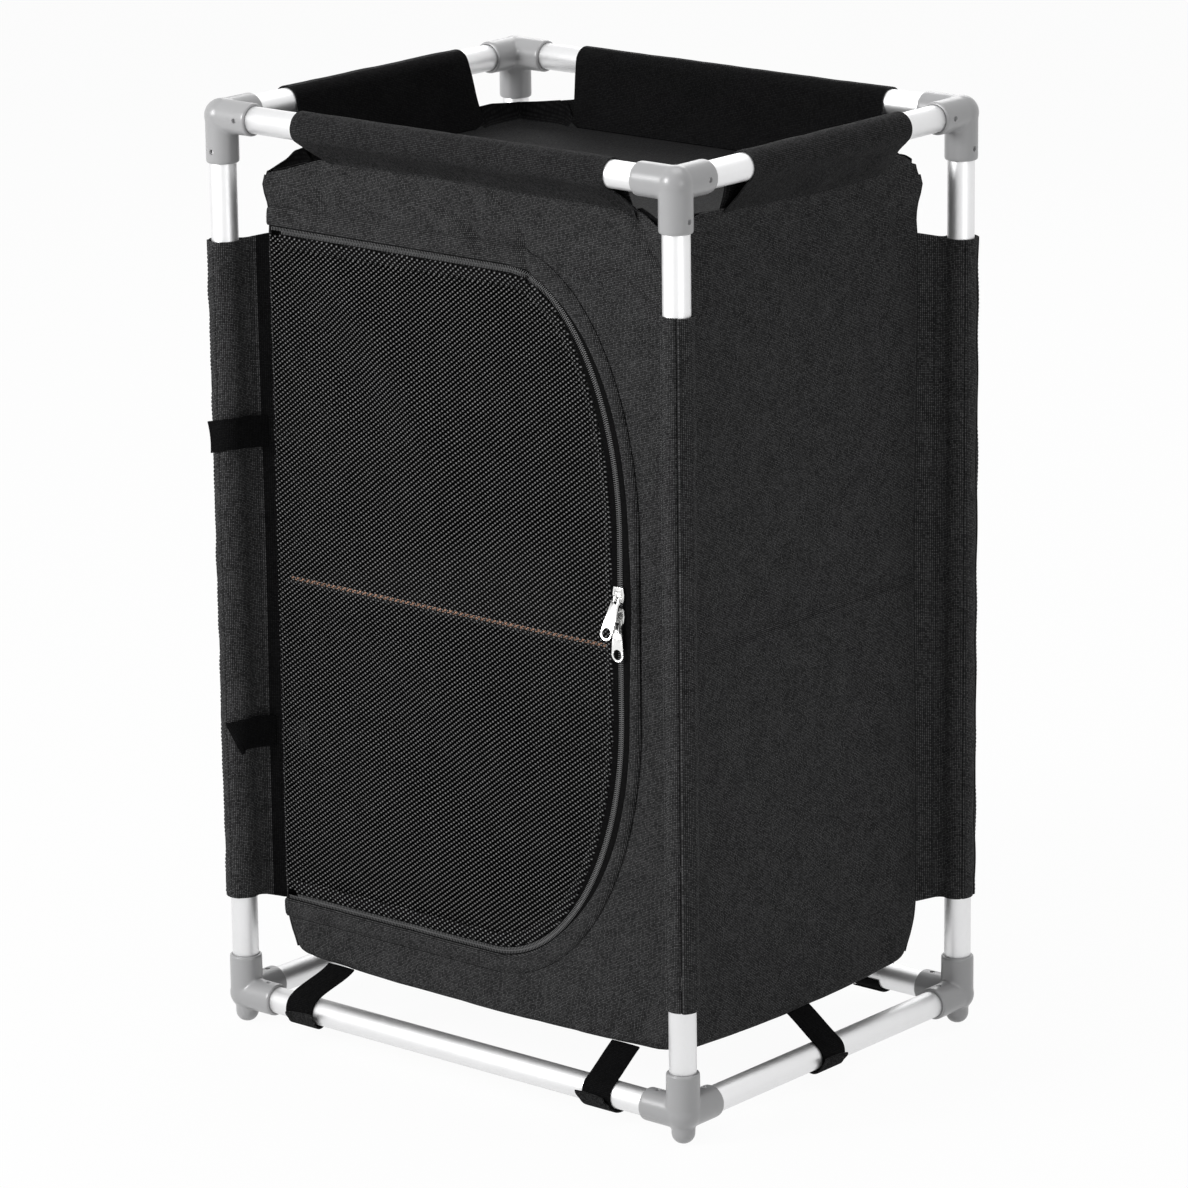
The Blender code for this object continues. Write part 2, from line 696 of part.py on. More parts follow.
def pull(name, height, lean, lift, metal):
    """Adds a pull that hangs from its bail: a long drop with a window and an eye.

    The bar above the window runs under the bail, and the origin is in it. A
    lean turns the pull in the front plane, and a lift swings it off the front.
    """
    half_head = PULL_HEAD_WIDTH / 2
    tip_radius = PULL_TIP_WIDTH / 2
    top = PULL_BAR / 2
    tip_centre = tip_radius + top - PULL_LENGTH
    loop = [(half_head, top), (-half_head, top)]
    for step in range(SMALL_ROUND_STEPS + 1):
        turn = math.pi * (1 + step / SMALL_ROUND_STEPS)
        loop.append((tip_radius * math.cos(turn), tip_centre + tip_radius * math.sin(turn)))
    half_window = PULL_WINDOW_WIDTH / 2
    window_end = -top - PULL_WINDOW_LENGTH
    window = [(-half_window, -top), (half_window, -top), (half_window, window_end),
              (-half_window, window_end)]
    eye = circle(PULL_EYE_DIAMETER / 2, SMALL_ROUND_STEPS, (0.0, tip_centre))
    item = outline(name, [loop, window, eye], PULL_THICKNESS, metal)
    across = Vector((math.cos(lean), 0.0, -math.sin(lean)))
    hanging = Vector((math.sin(lean), 0.0, math.cos(lean)))
    upwards = hanging * math.cos(lift) - across.cross(hanging) * math.sin(lift)
    return set_axes(item, (ZIP_RIGHT, PULL_AXIS_Y, height - PULL_AXIS_DROP), across, upwards)


def resting_lift():
    """Gives the angle at which the upper pull lies on the lower slider's bail."""
    out = PULL_AXIS_Y - BAIL_FRONT + PULL_REST_GAP + PULL_THICKNESS / 2
    down = SLIDER_SPACING - PULL_AXIS_DROP - BAIL_LENGTH / 2
    return math.atan2(out, down)


def make_sliders(hinge, metal):
    """Adds both sliders with their pulls, which ride on the door."""
    places = (("upper", UPPER_SLIDER_HEIGHT, PULL_LEAN, resting_lift()),
              ("lower", LOWER_SLIDER_HEIGHT, 0.0, 0.0))
    for level, height, lean, lift in places:
        carrier = attach(slider(f"zip_slider_{level}", height, metal), hinge)
        attach(pull(f"zip_pull_{level}", height, lean, lift, metal), carrier)


def strap(name, inward, along, webbing):
    """Adds a strap from the cover's lower edge round a lower rail."""
    across = HALF_DEPTH if inward.x == 0 else HALF_WIDTH
    radius = TUBE_RADIUS + GAP + STRAP_THICKNESS / 2
    anchor = (COVER_INSET + STRAP_THICKNESS / 2,
              COVER_BOTTOM - GAP - STRAP_THICKNESS / 2 - LOWER_RAIL_HEIGHT)
    band = wrapped_band(anchor, radius, STRAP_THICKNESS, STRAP_WRAP, 1)
    item = outline(name, [band], STRAP_WIDTH, webbing)
    axis = -inward * across + UP * LOWER_RAIL_HEIGHT
    point = axis + inward * anchor[0] + UP * anchor[1] + inward.cross(UP) * along
    return set_axes(item, point, inward, UP)


def make_straps(webbing):
    """Adds the six straps that tie the cover down."""
    offset = HALF_WIDTH - STRAP_SETBACK
    for side in ("front", "back"):
        for end, sign in (("left", -1), ("right", 1)):
            along = sign * offset * (1 if side == "front" else -1)
            strap(f"strap_{side}_{end}", SIDES[side], along, webbing)
    for side in ("left", "right"):
        strap(f"strap_{side}", SIDES[side], 0.0, webbing)


def tie(name, drop, webbing):
    """Adds a door tie: sewn on at the cover's corner, it lies round a post sleeve."""
    radius = SLEEVE_OUTER + GAP + TIE_THICKNESS / 2
    reach = math.hypot(COVER_INSET, COVER_INSET) - 2 * TIE_THICKNESS
    anchor = (reach, -FABRIC / 2 - GAP - TIE_THICKNESS / 2)
    band = wrapped_band(anchor, radius, TIE_THICKNESS, TIE_WRAP, -1)
    item = outline(name, [band], TIE_HEIGHT, webbing)
    tail = Vector((1, 1, 0)).normalized()
    across = UP.cross(tail)
    post = Vector((-HALF_WIDTH, -HALF_DEPTH, COVER_TOP - drop))
    return set_axes(item, post + tail * anchor[0] + across * anchor[1], tail, across)


def inner_tie(name, drop, turn, webbing):
    """Adds a tie's other half, which hangs behind the door and turns inwards."""
    half_height = TIE_HEIGHT / 2
    low = (0.0, 0.0, -half_height)
    high = (INNER_TIE_LENGTH, TIE_THICKNESS, half_height)
    item = box(name, low, high, webbing)
    item.data.transform(Matrix.Translation(item.location))
    item.location = (-INNER_X + TIE_THICKNESS + GAP, -INNER_Y + GAP, COVER_TOP - drop)
    item.rotation_euler = (0.0, 0.0, turn)
    return item


def make_ties(webbing):
    """Adds both halves of the two door ties."""
    tie("door_tie_upper", UPPER_TIE_DROP, webbing)
    tie("door_tie_lower", LOWER_TIE_DROP, webbing)
    inner_tie("inner_tie_upper", UPPER_TIE_DROP, UPPER_INNER_TIE_TURN, webbing)
    inner_tie("inner_tie_lower", LOWER_TIE_DROP, LOWER_INNER_TIE_TURN, webbing)


def main():
    """Builds the cupboard."""
    empty_file()
    metal = finish("aluminium", (0.72, 0.72, 0.73), 0.30, 1.0)
    plastic = finish("grey_plastic", (0.30, 0.30, 0.31), 0.45)
    fabric = finish("charcoal_fabric", (0.030, 0.030, 0.032), 0.85)
    mesh_fabric = finish("black_mesh", (0.015, 0.015, 0.016), 0.80)
    webbing = finish("black_webbing", (0.010, 0.010, 0.011), 0.90)
    coil = finish("black_zip", (0.020, 0.020, 0.021), 0.55)
    zinc = finish("nickel", (0.80, 0.80, 0.80), 0.22, 1.0)
    wood = finish("fibreboard", (0.30, 0.15, 0.09), 0.70)
    make_frame(metal)
    make_corners(plastic)
    make_cover(fabric)
    make_front_panel(fabric)
    make_boards(wood)
    make_sleeves(fabric)
    hinge = make_door(mesh_fabric, coil)
    make_sliders(hinge, zinc)
    make_straps(webbing)
    make_ties(webbing)


main()
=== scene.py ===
"""Camping cupboard: its looks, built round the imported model.

Tubes, moulded corners, the fabric cover with its tray, skirts and sleeves, the
mesh door with its zip, the straps and the ties each come from a class of their
own. Everything is in metres, +Z up, with the front towards -Y.
"""

import logging
import math
from dataclasses import dataclass, field
from enum import Enum
from typing import Callable, Sequence

import bmesh
import bpy
import numpy as np
from mathutils import Matrix, Vector


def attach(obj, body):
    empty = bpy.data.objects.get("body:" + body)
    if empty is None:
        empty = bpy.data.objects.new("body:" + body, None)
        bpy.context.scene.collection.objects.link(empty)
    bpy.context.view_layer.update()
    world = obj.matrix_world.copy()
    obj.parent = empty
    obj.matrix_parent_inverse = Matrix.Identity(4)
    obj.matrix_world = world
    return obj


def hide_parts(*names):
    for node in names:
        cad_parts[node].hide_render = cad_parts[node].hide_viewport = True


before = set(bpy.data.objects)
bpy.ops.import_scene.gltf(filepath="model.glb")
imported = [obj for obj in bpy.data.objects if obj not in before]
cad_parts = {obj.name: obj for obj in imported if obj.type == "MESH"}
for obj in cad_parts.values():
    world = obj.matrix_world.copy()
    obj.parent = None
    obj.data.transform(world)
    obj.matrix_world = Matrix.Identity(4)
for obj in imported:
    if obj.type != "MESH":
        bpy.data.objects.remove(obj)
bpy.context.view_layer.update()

LOG = logging.getLogger("camping_cupboard")
IMAGE_SIZE = 1188

# Shared with the CAD: the frame
HALF_WIDTH = 0.234
HALF_DEPTH = 0.180
LOWER = 0.025
UPPER = 0.765
TUBE_RADIUS = 0.011
SOCKET_RADIUS = 0.0135
BORE_RADIUS = 0.0113
SOCKET_FLOOR = 0.0131

# Shared with the CAD: the cover, the boards and the door
COVER_X = 0.210
COVER_Y = 0.156
COVER_TOP = 0.7145
COVER_BOTTOM = 0.060
FABRIC = 0.0013
BOARD = 0.003
BOARD_TOPS = {"floor_board": 0.0646, "shelf_board": 0.3830, "top_board": 0.7129}
SLING_TOP = 0.3797
POCKET_TOP = 0.7096
INNER_X = 0.2084
INNER_Y = 0.1544
HINGE_X = -0.2085
ZIP_TOP = 0.672
ZIP_BOTTOM = 0.110
ZIP_RIGHT = 0.157
ZIP_START = -0.205
FABRIC_EDGE = 0.0045
TAPE_BACK = -0.1563
TAPE_THICKNESS = 0.0008
TAPE_WIDTH = 0.0125
TAPE_FRONT = TAPE_BACK - TAPE_THICKNESS
CHAIN_FRONT = -0.158

# Sheets: the angle past which an edge is sharp, and the least share of its
# rectangle that a sheet's area is given as
CLOTH_ANGLE = 60.0

Points = np.ndarray
Test = Callable[[Vector, Vector], bool]
FaceTest = Callable[[bpy.types.MeshPolygon], bool]


# ---------------------------------------------------------------- finishes


class Slot(Enum):
    """The record's material slots."""

    ALUMINIUM = "aluminium"
    PLASTIC = "grey_plastic"
    FABRIC = "charcoal_fabric"
    MESH = "black_mesh"
    WEBBING = "black_webbing"
    ZIP = "black_zip"
    NICKEL = "nickel"
    BOARD = "fibreboard"


def wire(tree: bpy.types.NodeTree, kind: str, settings: dict | None = None,
         inputs: dict | None = None) -> bpy.types.Node:
    """Adds a node, sets it and joins its inputs.

    Args:
        tree: The tree that gets the node.
        kind: The node's type.
        settings: The node's own properties.
        inputs: A constant or another node's socket for each input, by name or
            number.

    Returns:
        The node.
    """
    node = tree.nodes.new(kind)
    for name, value in (settings or {}).items():
        setattr(node, name, value)
    for name, value in (inputs or {}).items():
        if isinstance(value, bpy.types.NodeSocket):
            tree.links.new(value, node.inputs[name])
        else:
            node.inputs[name].default_value = value
    return node


def sum_up(tree: bpy.types.NodeTree, operation: str, *values: object) -> bpy.types.NodeSocket:
    """Adds one Math node and gives its result.

    Args:
        tree: The tree that gets the node.
        operation: The Math node's operation.
        values: Numbers or sockets, in the order of its inputs.

    Returns:
        The result's socket.
    """
    node = wire(tree, "ShaderNodeMath", {"operation": operation}, dict(enumerate(values)))
    return node.outputs[0]


def effect(name: str, inputs: dict[str, object], outputs: Sequence[str]
           ) -> tuple[bpy.types.NodeTree, bpy.types.Node, bpy.types.Node]:
    """Starts a shader node group.

    Args:
        name: The group's name.
        inputs: The start value of each input. None stands for a vector.
        outputs: The names of the outputs, all of them plain values.

    Returns:
        The group's tree, its input node and its output node.
    """
    tree = bpy.data.node_groups.new(name, "ShaderNodeTree")
    for label, value in inputs.items():
        kind = "NodeSocketVector" if value is None else "NodeSocketFloat"
        socket = tree.interface.new_socket(label, in_out="INPUT", socket_type=kind)
        if value is not None:
            socket.default_value = value
    for label in outputs:
        tree.interface.new_socket(label, in_out="OUTPUT", socket_type="NodeSocketFloat")
    return tree, tree.nodes.new("NodeGroupInput"), tree.nodes.new("NodeGroupOutput")


def weave_effect() -> bpy.types.NodeTree:
    """Makes the plain weave: crossing threads, uneven yarn and slow patches.

    Returns:
        The node group.
    """
    tree, given, made = effect("plain_weave", {"Place": None, "Pitch": 0.001},
                               ("Height", "Fleck", "Patch"))
    over = sum_up(tree, "DIVIDE", 1.0, given.outputs["Pitch"])
    cells = wire(tree, "ShaderNodeVectorMath", {"operation": "SCALE"},
                 {0: given.outputs["Place"], "Scale": over})
    parts = wire(tree, "ShaderNodeSeparateXYZ", None, {0: cells.outputs[0]})
    waves = [sum_up(tree, "SINE", sum_up(tree, "MULTIPLY", parts.outputs[axis], math.pi))
             for axis in (0, 1)]
    height = sum_up(tree, "ABSOLUTE", sum_up(tree, "MULTIPLY", *waves))
    step = wire(tree, "ShaderNodeVectorMath", {"operation": "FLOOR"}, {0: cells.outputs[0]})
    fleck = wire(tree, "ShaderNodeTexWhiteNoise", {"noise_dimensions": "2D"},
                 {"Vector": step.outputs[0]})
    patch = wire(tree, "ShaderNodeTexNoise", {"noise_dimensions": "3D"},
                 {"Vector": given.outputs["Place"], "Scale": 45.0, "Detail": 5.0,
                  "Roughness": 0.6})
    tree.links.new(height, made.inputs["Height"])
    tree.links.new(fleck.outputs["Value"], made.inputs["Fleck"])
    tree.links.new(patch.outputs["Fac"], made.inputs["Patch"])
    return tree


def net_effect() -> bpy.types.NodeTree:
    """Makes the open mesh: two crossing waves of threads with holes between them, and a slow noise
    that varies the threads' painted highlight.

    Returns:
        The node group.
    """
    tree, given, made = effect("open_mesh", {"Place": None, "Scale": 1.0, "Open": -0.5},
                               ("Thread", "Height", "Glint"))
    waves = []
    for across, up in ((236.0, -320.0), (268.0, 367.0)):
        along = wire(tree, "ShaderNodeVectorMath", {"operation": "DOT_PRODUCT"},
                     {0: given.outputs["Place"], 1: (across * math.tau, up * math.tau, 0.0)})
        turn = sum_up(tree, "MULTIPLY", along.outputs["Value"], given.outputs["Scale"])
        waves.append(sum_up(tree, "COSINE", turn))
    total = sum_up(tree, "MULTIPLY_ADD", waves[1], 0.75, waves[0])
    depth = sum_up(tree, "SUBTRACT", total, given.outputs["Open"])
    thread = wire(tree, "ShaderNodeMapRange", {"interpolation_type": "SMOOTHSTEP"},
                  {"Value": depth, "From Min": -0.12, "From Max": 0.12})
    height = wire(tree, "ShaderNodeMapRange", None,
                  {"Value": depth, "From Min": 0.0, "From Max": 2.1})
    cell = wire(tree, "ShaderNodeTexNoise", {"noise_dimensions": "2D"},
                {"Vector": given.outputs["Place"], "Scale": 60.0, "Detail": 5.0})
    tree.links.new(thread.outputs[0], made.inputs["Thread"])
    tree.links.new(height.outputs[0], made.inputs["Height"])
    tree.links.new(cell.outputs["Fac"], made.inputs["Glint"])
    return tree


def wear_effect() -> bpy.types.NodeTree:
    """Makes the handling marks of hard pieces: fine grain, smudges and dust.

    Returns:
        The node group.
    """
    tree, given, made = effect("handling", {"Place": None, "Grain": 900.0},
                               ("Grain", "Smudge", "Dust"))
    grain = wire(tree, "ShaderNodeTexNoise", None,
                 {"Vector": given.outputs["Place"], "Scale": given.outputs["Grain"],
                  "Detail": 3.0})
    smudge = wire(tree, "ShaderNodeTexNoise", None,
                  {"Vector": given.outputs["Place"], "Scale": 28.0, "Detail": 6.0,
                   "Roughness": 0.65, "Distortion": 0.6})
    dust = wire(tree, "ShaderNodeTexNoise", None,
                {"Vector": given.outputs["Place"], "Scale": 240.0, "Detail": 4.0})
    speck = wire(tree, "ShaderNodeMapRange", None,
                 {"Value": dust.outputs["Fac"], "From Min": 0.55, "From Max": 0.78})
    tree.links.new(grain.outputs["Fac"], made.inputs["Grain"])
    tree.links.new(smudge.outputs["Fac"], made.inputs["Smudge"])
    tree.links.new(speck.outputs[0], made.inputs["Dust"])
    return tree


class Effects:
    """The shared node groups, each built once."""

    made: dict[str, bpy.types.NodeTree] = {}
    makers = {"weave": weave_effect, "net": net_effect, "wear": wear_effect}

    @classmethod
    def put(cls, tree: bpy.types.NodeTree, name: str, inputs: dict) -> bpy.types.Node:
        """Places one of the groups in a material.

        Args:
            tree: The material's tree.
            name: weave, net or wear.
            inputs: The group's inputs for this material.

        Returns:
            The group's node.
        """
        if name not in cls.made:
            cls.made[name] = cls.makers[name]()
        return wire(tree, "ShaderNodeGroup", {"node_tree": cls.made[name]}, inputs)


def start_material(name: str) -> tuple[bpy.types.Material, bpy.types.NodeTree, bpy.types.Node]:
    """Makes an empty material with its Principled shader.

    Args:
        name: The material's name.

    Returns:
        The material, its tree and its shader.
    """
    material = bpy.data.materials.new(name)
    material.use_nodes = True
    tree = material.node_tree
    return material, tree, tree.nodes["Principled BSDF"]


def tone(tree: bpy.types.NodeTree, amount: object, dark: Sequence[float],
         light: Sequence[float]) -> bpy.types.NodeSocket:
    """Mixes two colours by a value.

    Args:
        tree: The material's tree.
        amount: The socket that mixes them.
        dark: The colour at 0.
        light: The colour at 1.

    Returns:
        The mixed colour's socket.
    """
    node = wire(tree, "ShaderNodeMix", {"data_type": "RGBA"},
                {0: amount, 6: (*dark, 1.0), 7: (*light, 1.0)})
    return node.outputs[2]


def bump(tree: bpy.types.NodeTree, shader: bpy.types.Node, height: object,
         distance: float, strength: float = 1.0) -> None:
    """Gives a shader its relief.

    Args:
        tree: The material's tree.
        shader: The shader.
        height: The relief's socket.
        distance: The relief's depth in metres.
        strength: How much of it counts.
    """
    node = wire(tree, "ShaderNodeBump", None,
                {"Height": height, "Distance": distance, "Strength": strength})
    tree.links.new(node.outputs[0], shader.inputs["Normal"])


@dataclass(frozen=True)
class Cloth:
    """A woven fabric, whose pattern follows the piece's own UV map in metres, and whose colour
    carries a painted highlight on the threads' crowns.
    """

    name: str
    slot: Slot
    dark: tuple[float, float, float]
    light: tuple[float, float, float]
    pitch: float = 0.00135
    relief: float = 0.00030
    roughness: float = 0.88
    specular: float = 0.08

    def build(self) -> bpy.types.Material:
        """Makes the material.

        Returns:
            The cloth's material.
        """
        material, tree, shader = start_material(self.name)
        place = wire(tree, "ShaderNodeUVMap", {"uv_map": "cut"})
        weave = Effects.put(tree, "weave", {"Place": place.outputs[0], "Pitch": self.pitch})
        yarn = sum_up(tree, "MULTIPLY_ADD", weave.outputs["Fleck"], 0.75, 0.25)
        # Painted highlight: the weave's height lightens the colour on the threads' crowns and
        # leaves painted shade between them.
        crown = sum_up(tree, "POWER", weave.outputs["Height"], 1.5)
        slow = sum_up(tree, "MULTIPLY_ADD", weave.outputs["Patch"], 0.22, -0.10)
        amount = sum_up(tree, "MULTIPLY_ADD", yarn, crown, slow)
        colour = tone(tree, amount, self.dark, self.light)
        tree.links.new(colour, shader.inputs["Base Color"])
        rough = sum_up(tree, "MULTIPLY_ADD", weave.outputs["Fleck"], -0.12, self.roughness)
        tree.links.new(rough, shader.inputs["Roughness"])
        shader.inputs["Specular IOR Level"].default_value = self.specular
        bump(tree, shader, weave.outputs["Height"], self.relief)
        return material


@dataclass(frozen=True)
class Net:
    """The door's open mesh: what lies behind it shows through its holes."""

    name: str = "black_door_mesh"
    slot: Slot = Slot.MESH
    dark: tuple[float, float, float] = (0.002, 0.002, 0.002)
    # The colour of the painted highlight on the threads' crowns.
    light: tuple[float, float, float] = (0.66, 0.66, 0.665)
    scale: float = 0.74
    open: float = 0.10

    def build(self) -> bpy.types.Material:
        """Makes the material.

        Returns:
            The mesh's material.
        """
        material, tree, shader = start_material(self.name)
        place = wire(tree, "ShaderNodeUVMap", {"uv_map": "cut"})
        net = Effects.put(tree, "net", {"Place": place.outputs[0], "Scale": self.scale,
                                        "Open": self.open})
        # Painted highlight: the threads' base colour rises to the light colour at their crowns,
        # more in some patches than in others.
        painted_highlight = sum_up(tree, "POWER", net.outputs["Height"], 3.0)
        uneven = sum_up(tree, "MULTIPLY_ADD", net.outputs["Glint"], 0.5, 0.65)
        colour = tone(tree, sum_up(tree, "MULTIPLY", painted_highlight, uneven), self.dark, self.light)
        tree.links.new(colour, shader.inputs["Base Color"])
        tree.links.new(net.outputs["Thread"], shader.inputs["Alpha"])
        shader.inputs["Roughness"].default_value = 0.6
        shader.inputs["Specular IOR Level"].default_value = 0.10
        bump(tree, shader, net.outputs["Height"], 0.0003)
        return material


@dataclass(frozen=True)
class Hard:
    """A metal, plastic or board surface with grain, smudges and a little dust."""

    name: str
    slot: Slot
    dark: tuple[float, float, float]
    light: tuple[float, float, float]
    roughness: float
    metallic: float = 0.0
    specular: float = 0.5
    grain: float = 900.0
    relief: float = 0.00002

    def build(self) -> bpy.types.Material:
        """Makes the material.

        Returns:
            The hard finish's material.
        """
        material, tree, shader = start_material(self.name)
        place = wire(tree, "ShaderNodeTexCoord")
        wear = Effects.put(tree, "wear", {"Place": place.outputs["Object"], "Grain": self.grain})
        amount = sum_up(tree, "MULTIPLY_ADD", wear.outputs["Smudge"], 1.4, -0.2)
        mixed = sum_up(tree, "MULTIPLY_ADD", wear.outputs["Grain"], 0.5,
                       sum_up(tree, "MULTIPLY", amount, 0.5))
        tree.links.new(tone(tree, mixed, self.dark, self.light), shader.inputs["Base Color"])
        rough = sum_up(tree, "MULTIPLY_ADD", wear.outputs["Smudge"], 0.12, self.roughness - 0.06)
        dusty = sum_up(tree, "MULTIPLY_ADD", wear.outputs["Dust"], 0.10, rough)
        tree.links.new(dusty, shader.inputs["Roughness"])
        shader.inputs["Metallic"].default_value = self.metallic
        shader.inputs["Specular IOR Level"].default_value = self.specular
        bump(tree, shader, wear.outputs["Grain"], self.relief)
        return material


Finish = Cloth | Net | Hard

ALUMINIUM = Hard("satin_aluminium", Slot.ALUMINIUM, (0.76, 0.76, 0.765), (0.86, 0.86, 0.865),
                 0.44, metallic=0.85, grain=1400.0, relief=0.000006)
PLASTIC = Hard("grey_moulding", Slot.PLASTIC, (0.345, 0.345, 0.35), (0.385, 0.385, 0.39),
               0.30, specular=0.75, grain=1600.0, relief=0.000008)
NICKEL = Hard("bright_nickel", Slot.NICKEL, (0.80, 0.80, 0.79), (0.90, 0.90, 0.89),
              0.26, metallic=1.0, grain=2200.0, relief=0.000001)
BOARD_EDGE = Hard("raw_fibreboard", Slot.BOARD, (0.92, 0.46, 0.30), (1.0, 0.66, 0.48),
                  0.75, specular=0.3, grain=1500.0, relief=0.00012)
BOARD_FACE = Hard("black_faced_board", Slot.BOARD, (0.006, 0.0055, 0.0055),
                  (0.012, 0.011, 0.010), 0.70, specular=0.15, grain=1100.0, relief=0.00006)
# Each cloth's colour runs from its dark colour between the threads to its light colour on their
# crowns: painted shade and painted highlight of the weave.
CHARCOAL = Cloth("charcoal_oxford", Slot.FABRIC, (0.0060, 0.0060, 0.0063), (0.150, 0.150, 0.152))
# The tray's cloth is darker than the walls': partly its own colour, partly painted shade of the
# hollow inside the skirts.
TRAY_CLOTH = Cloth("tray_oxford", Slot.FABRIC, (0.004, 0.004, 0.0042), (0.021, 0.021, 0.022),
                   relief=0.00012, roughness=0.80, specular=0.10)
# Painted shade: a near-black cloth that stands in for the shade inside the box, on the walls' inner
# faces above the tray, the tray's rim, the skirts' inner faces and the front left sleeve's web.
PAINTED_SHADE = Cloth("painted_shade_black", Slot.FABRIC, (0.0030, 0.0030, 0.0032), (0.016, 0.016, 0.0165),
               relief=0.00012, specular=0.03)
SLEEVE_CLOTH = Cloth("sleeve_oxford", Slot.FABRIC, (0.006, 0.006, 0.0063), (0.155, 0.155, 0.157))
SKIRT_CLOTH = Cloth("skirt_oxford", Slot.FABRIC, (0.006, 0.006, 0.0062), (0.078, 0.078, 0.080))
WEBBING = Cloth("black_webbing", Slot.WEBBING, (0.0025, 0.0025, 0.0027), (0.012, 0.012, 0.0125),
                pitch=0.0014, relief=0.0004, roughness=0.9, specular=0.04)
LOOP_PILE = Cloth("loop_pile", Slot.WEBBING, (0.008, 0.008, 0.0083), (0.10, 0.10, 0.102),
                  pitch=0.0012, relief=0.0007, roughness=0.95, specular=0.04)
# The zip tape is black, darkened further as painted shade of its recess beside the chain.
TAPE = Cloth("zip_tape", Slot.ZIP, (0.0020, 0.0020, 0.0021), (0.008, 0.008, 0.0082),
             pitch=0.0010, relief=0.0002, roughness=0.8, specular=0.04)
THREAD = Cloth("sewing_thread", Slot.FABRIC, (0.006, 0.006, 0.0065), (0.045, 0.045, 0.046),
               pitch=0.0005, relief=0.0001, roughness=0.6, specular=0.2)
COIL = Hard("black_nylon_coil", Slot.ZIP, (0.055, 0.055, 0.056), (0.150, 0.150, 0.152),
            0.30, specular=0.6, grain=1800.0, relief=0.00001)
MATERIALS: dict[str, bpy.types.Material] = {}


def material_of(finish: Finish) -> bpy.types.Material:
    """Gives a finish's material, and makes it the first time.

    Args:
        finish: The finish, known by its name.

    Returns:
        The material of that name.
    """
    if finish.name not in MATERIALS:
        MATERIALS[finish.name] = finish.build()
    return MATERIALS[finish.name]


def painted(item: bpy.types.Object, first: Finish, second: Finish, test: FaceTest) -> None:
    """Gives a piece two finishes, the second one on the faces that pass a test.

    Args:
        item: The piece.
        first: The finish of the faces that fail the test.
        second: The finish of the faces that pass it.
        test: Tells of a face whether it gets the second finish.
    """
    for finish in (first, second):
        item.data.materials.append(material_of(finish))
    for face in item.data.polygons:
        face.material_index = int(test(face))


def hand_over(item: bpy.types.Object, finish: Finish, body: str, *nodes: str) -> bpy.types.Object:
    """Dresses a piece, puts it on its body and hides the CAD nodes that it stands for.

    Args:
        item: The piece.
        finish: Its finish.
        body: The CAD body that it rides on.
        nodes: The CAD nodes that it replaces.

    Returns:
        The piece.
    """
    if not item.data.materials:
        item.data.materials.append(material_of(finish))
    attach(item, body)
    if nodes:
        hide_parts(*nodes)
    LOG.info("%s: %d faces, on %s", item.name, len(item.data.polygons), body)
    return item


# ---------------------------------------------------------------- the workbench


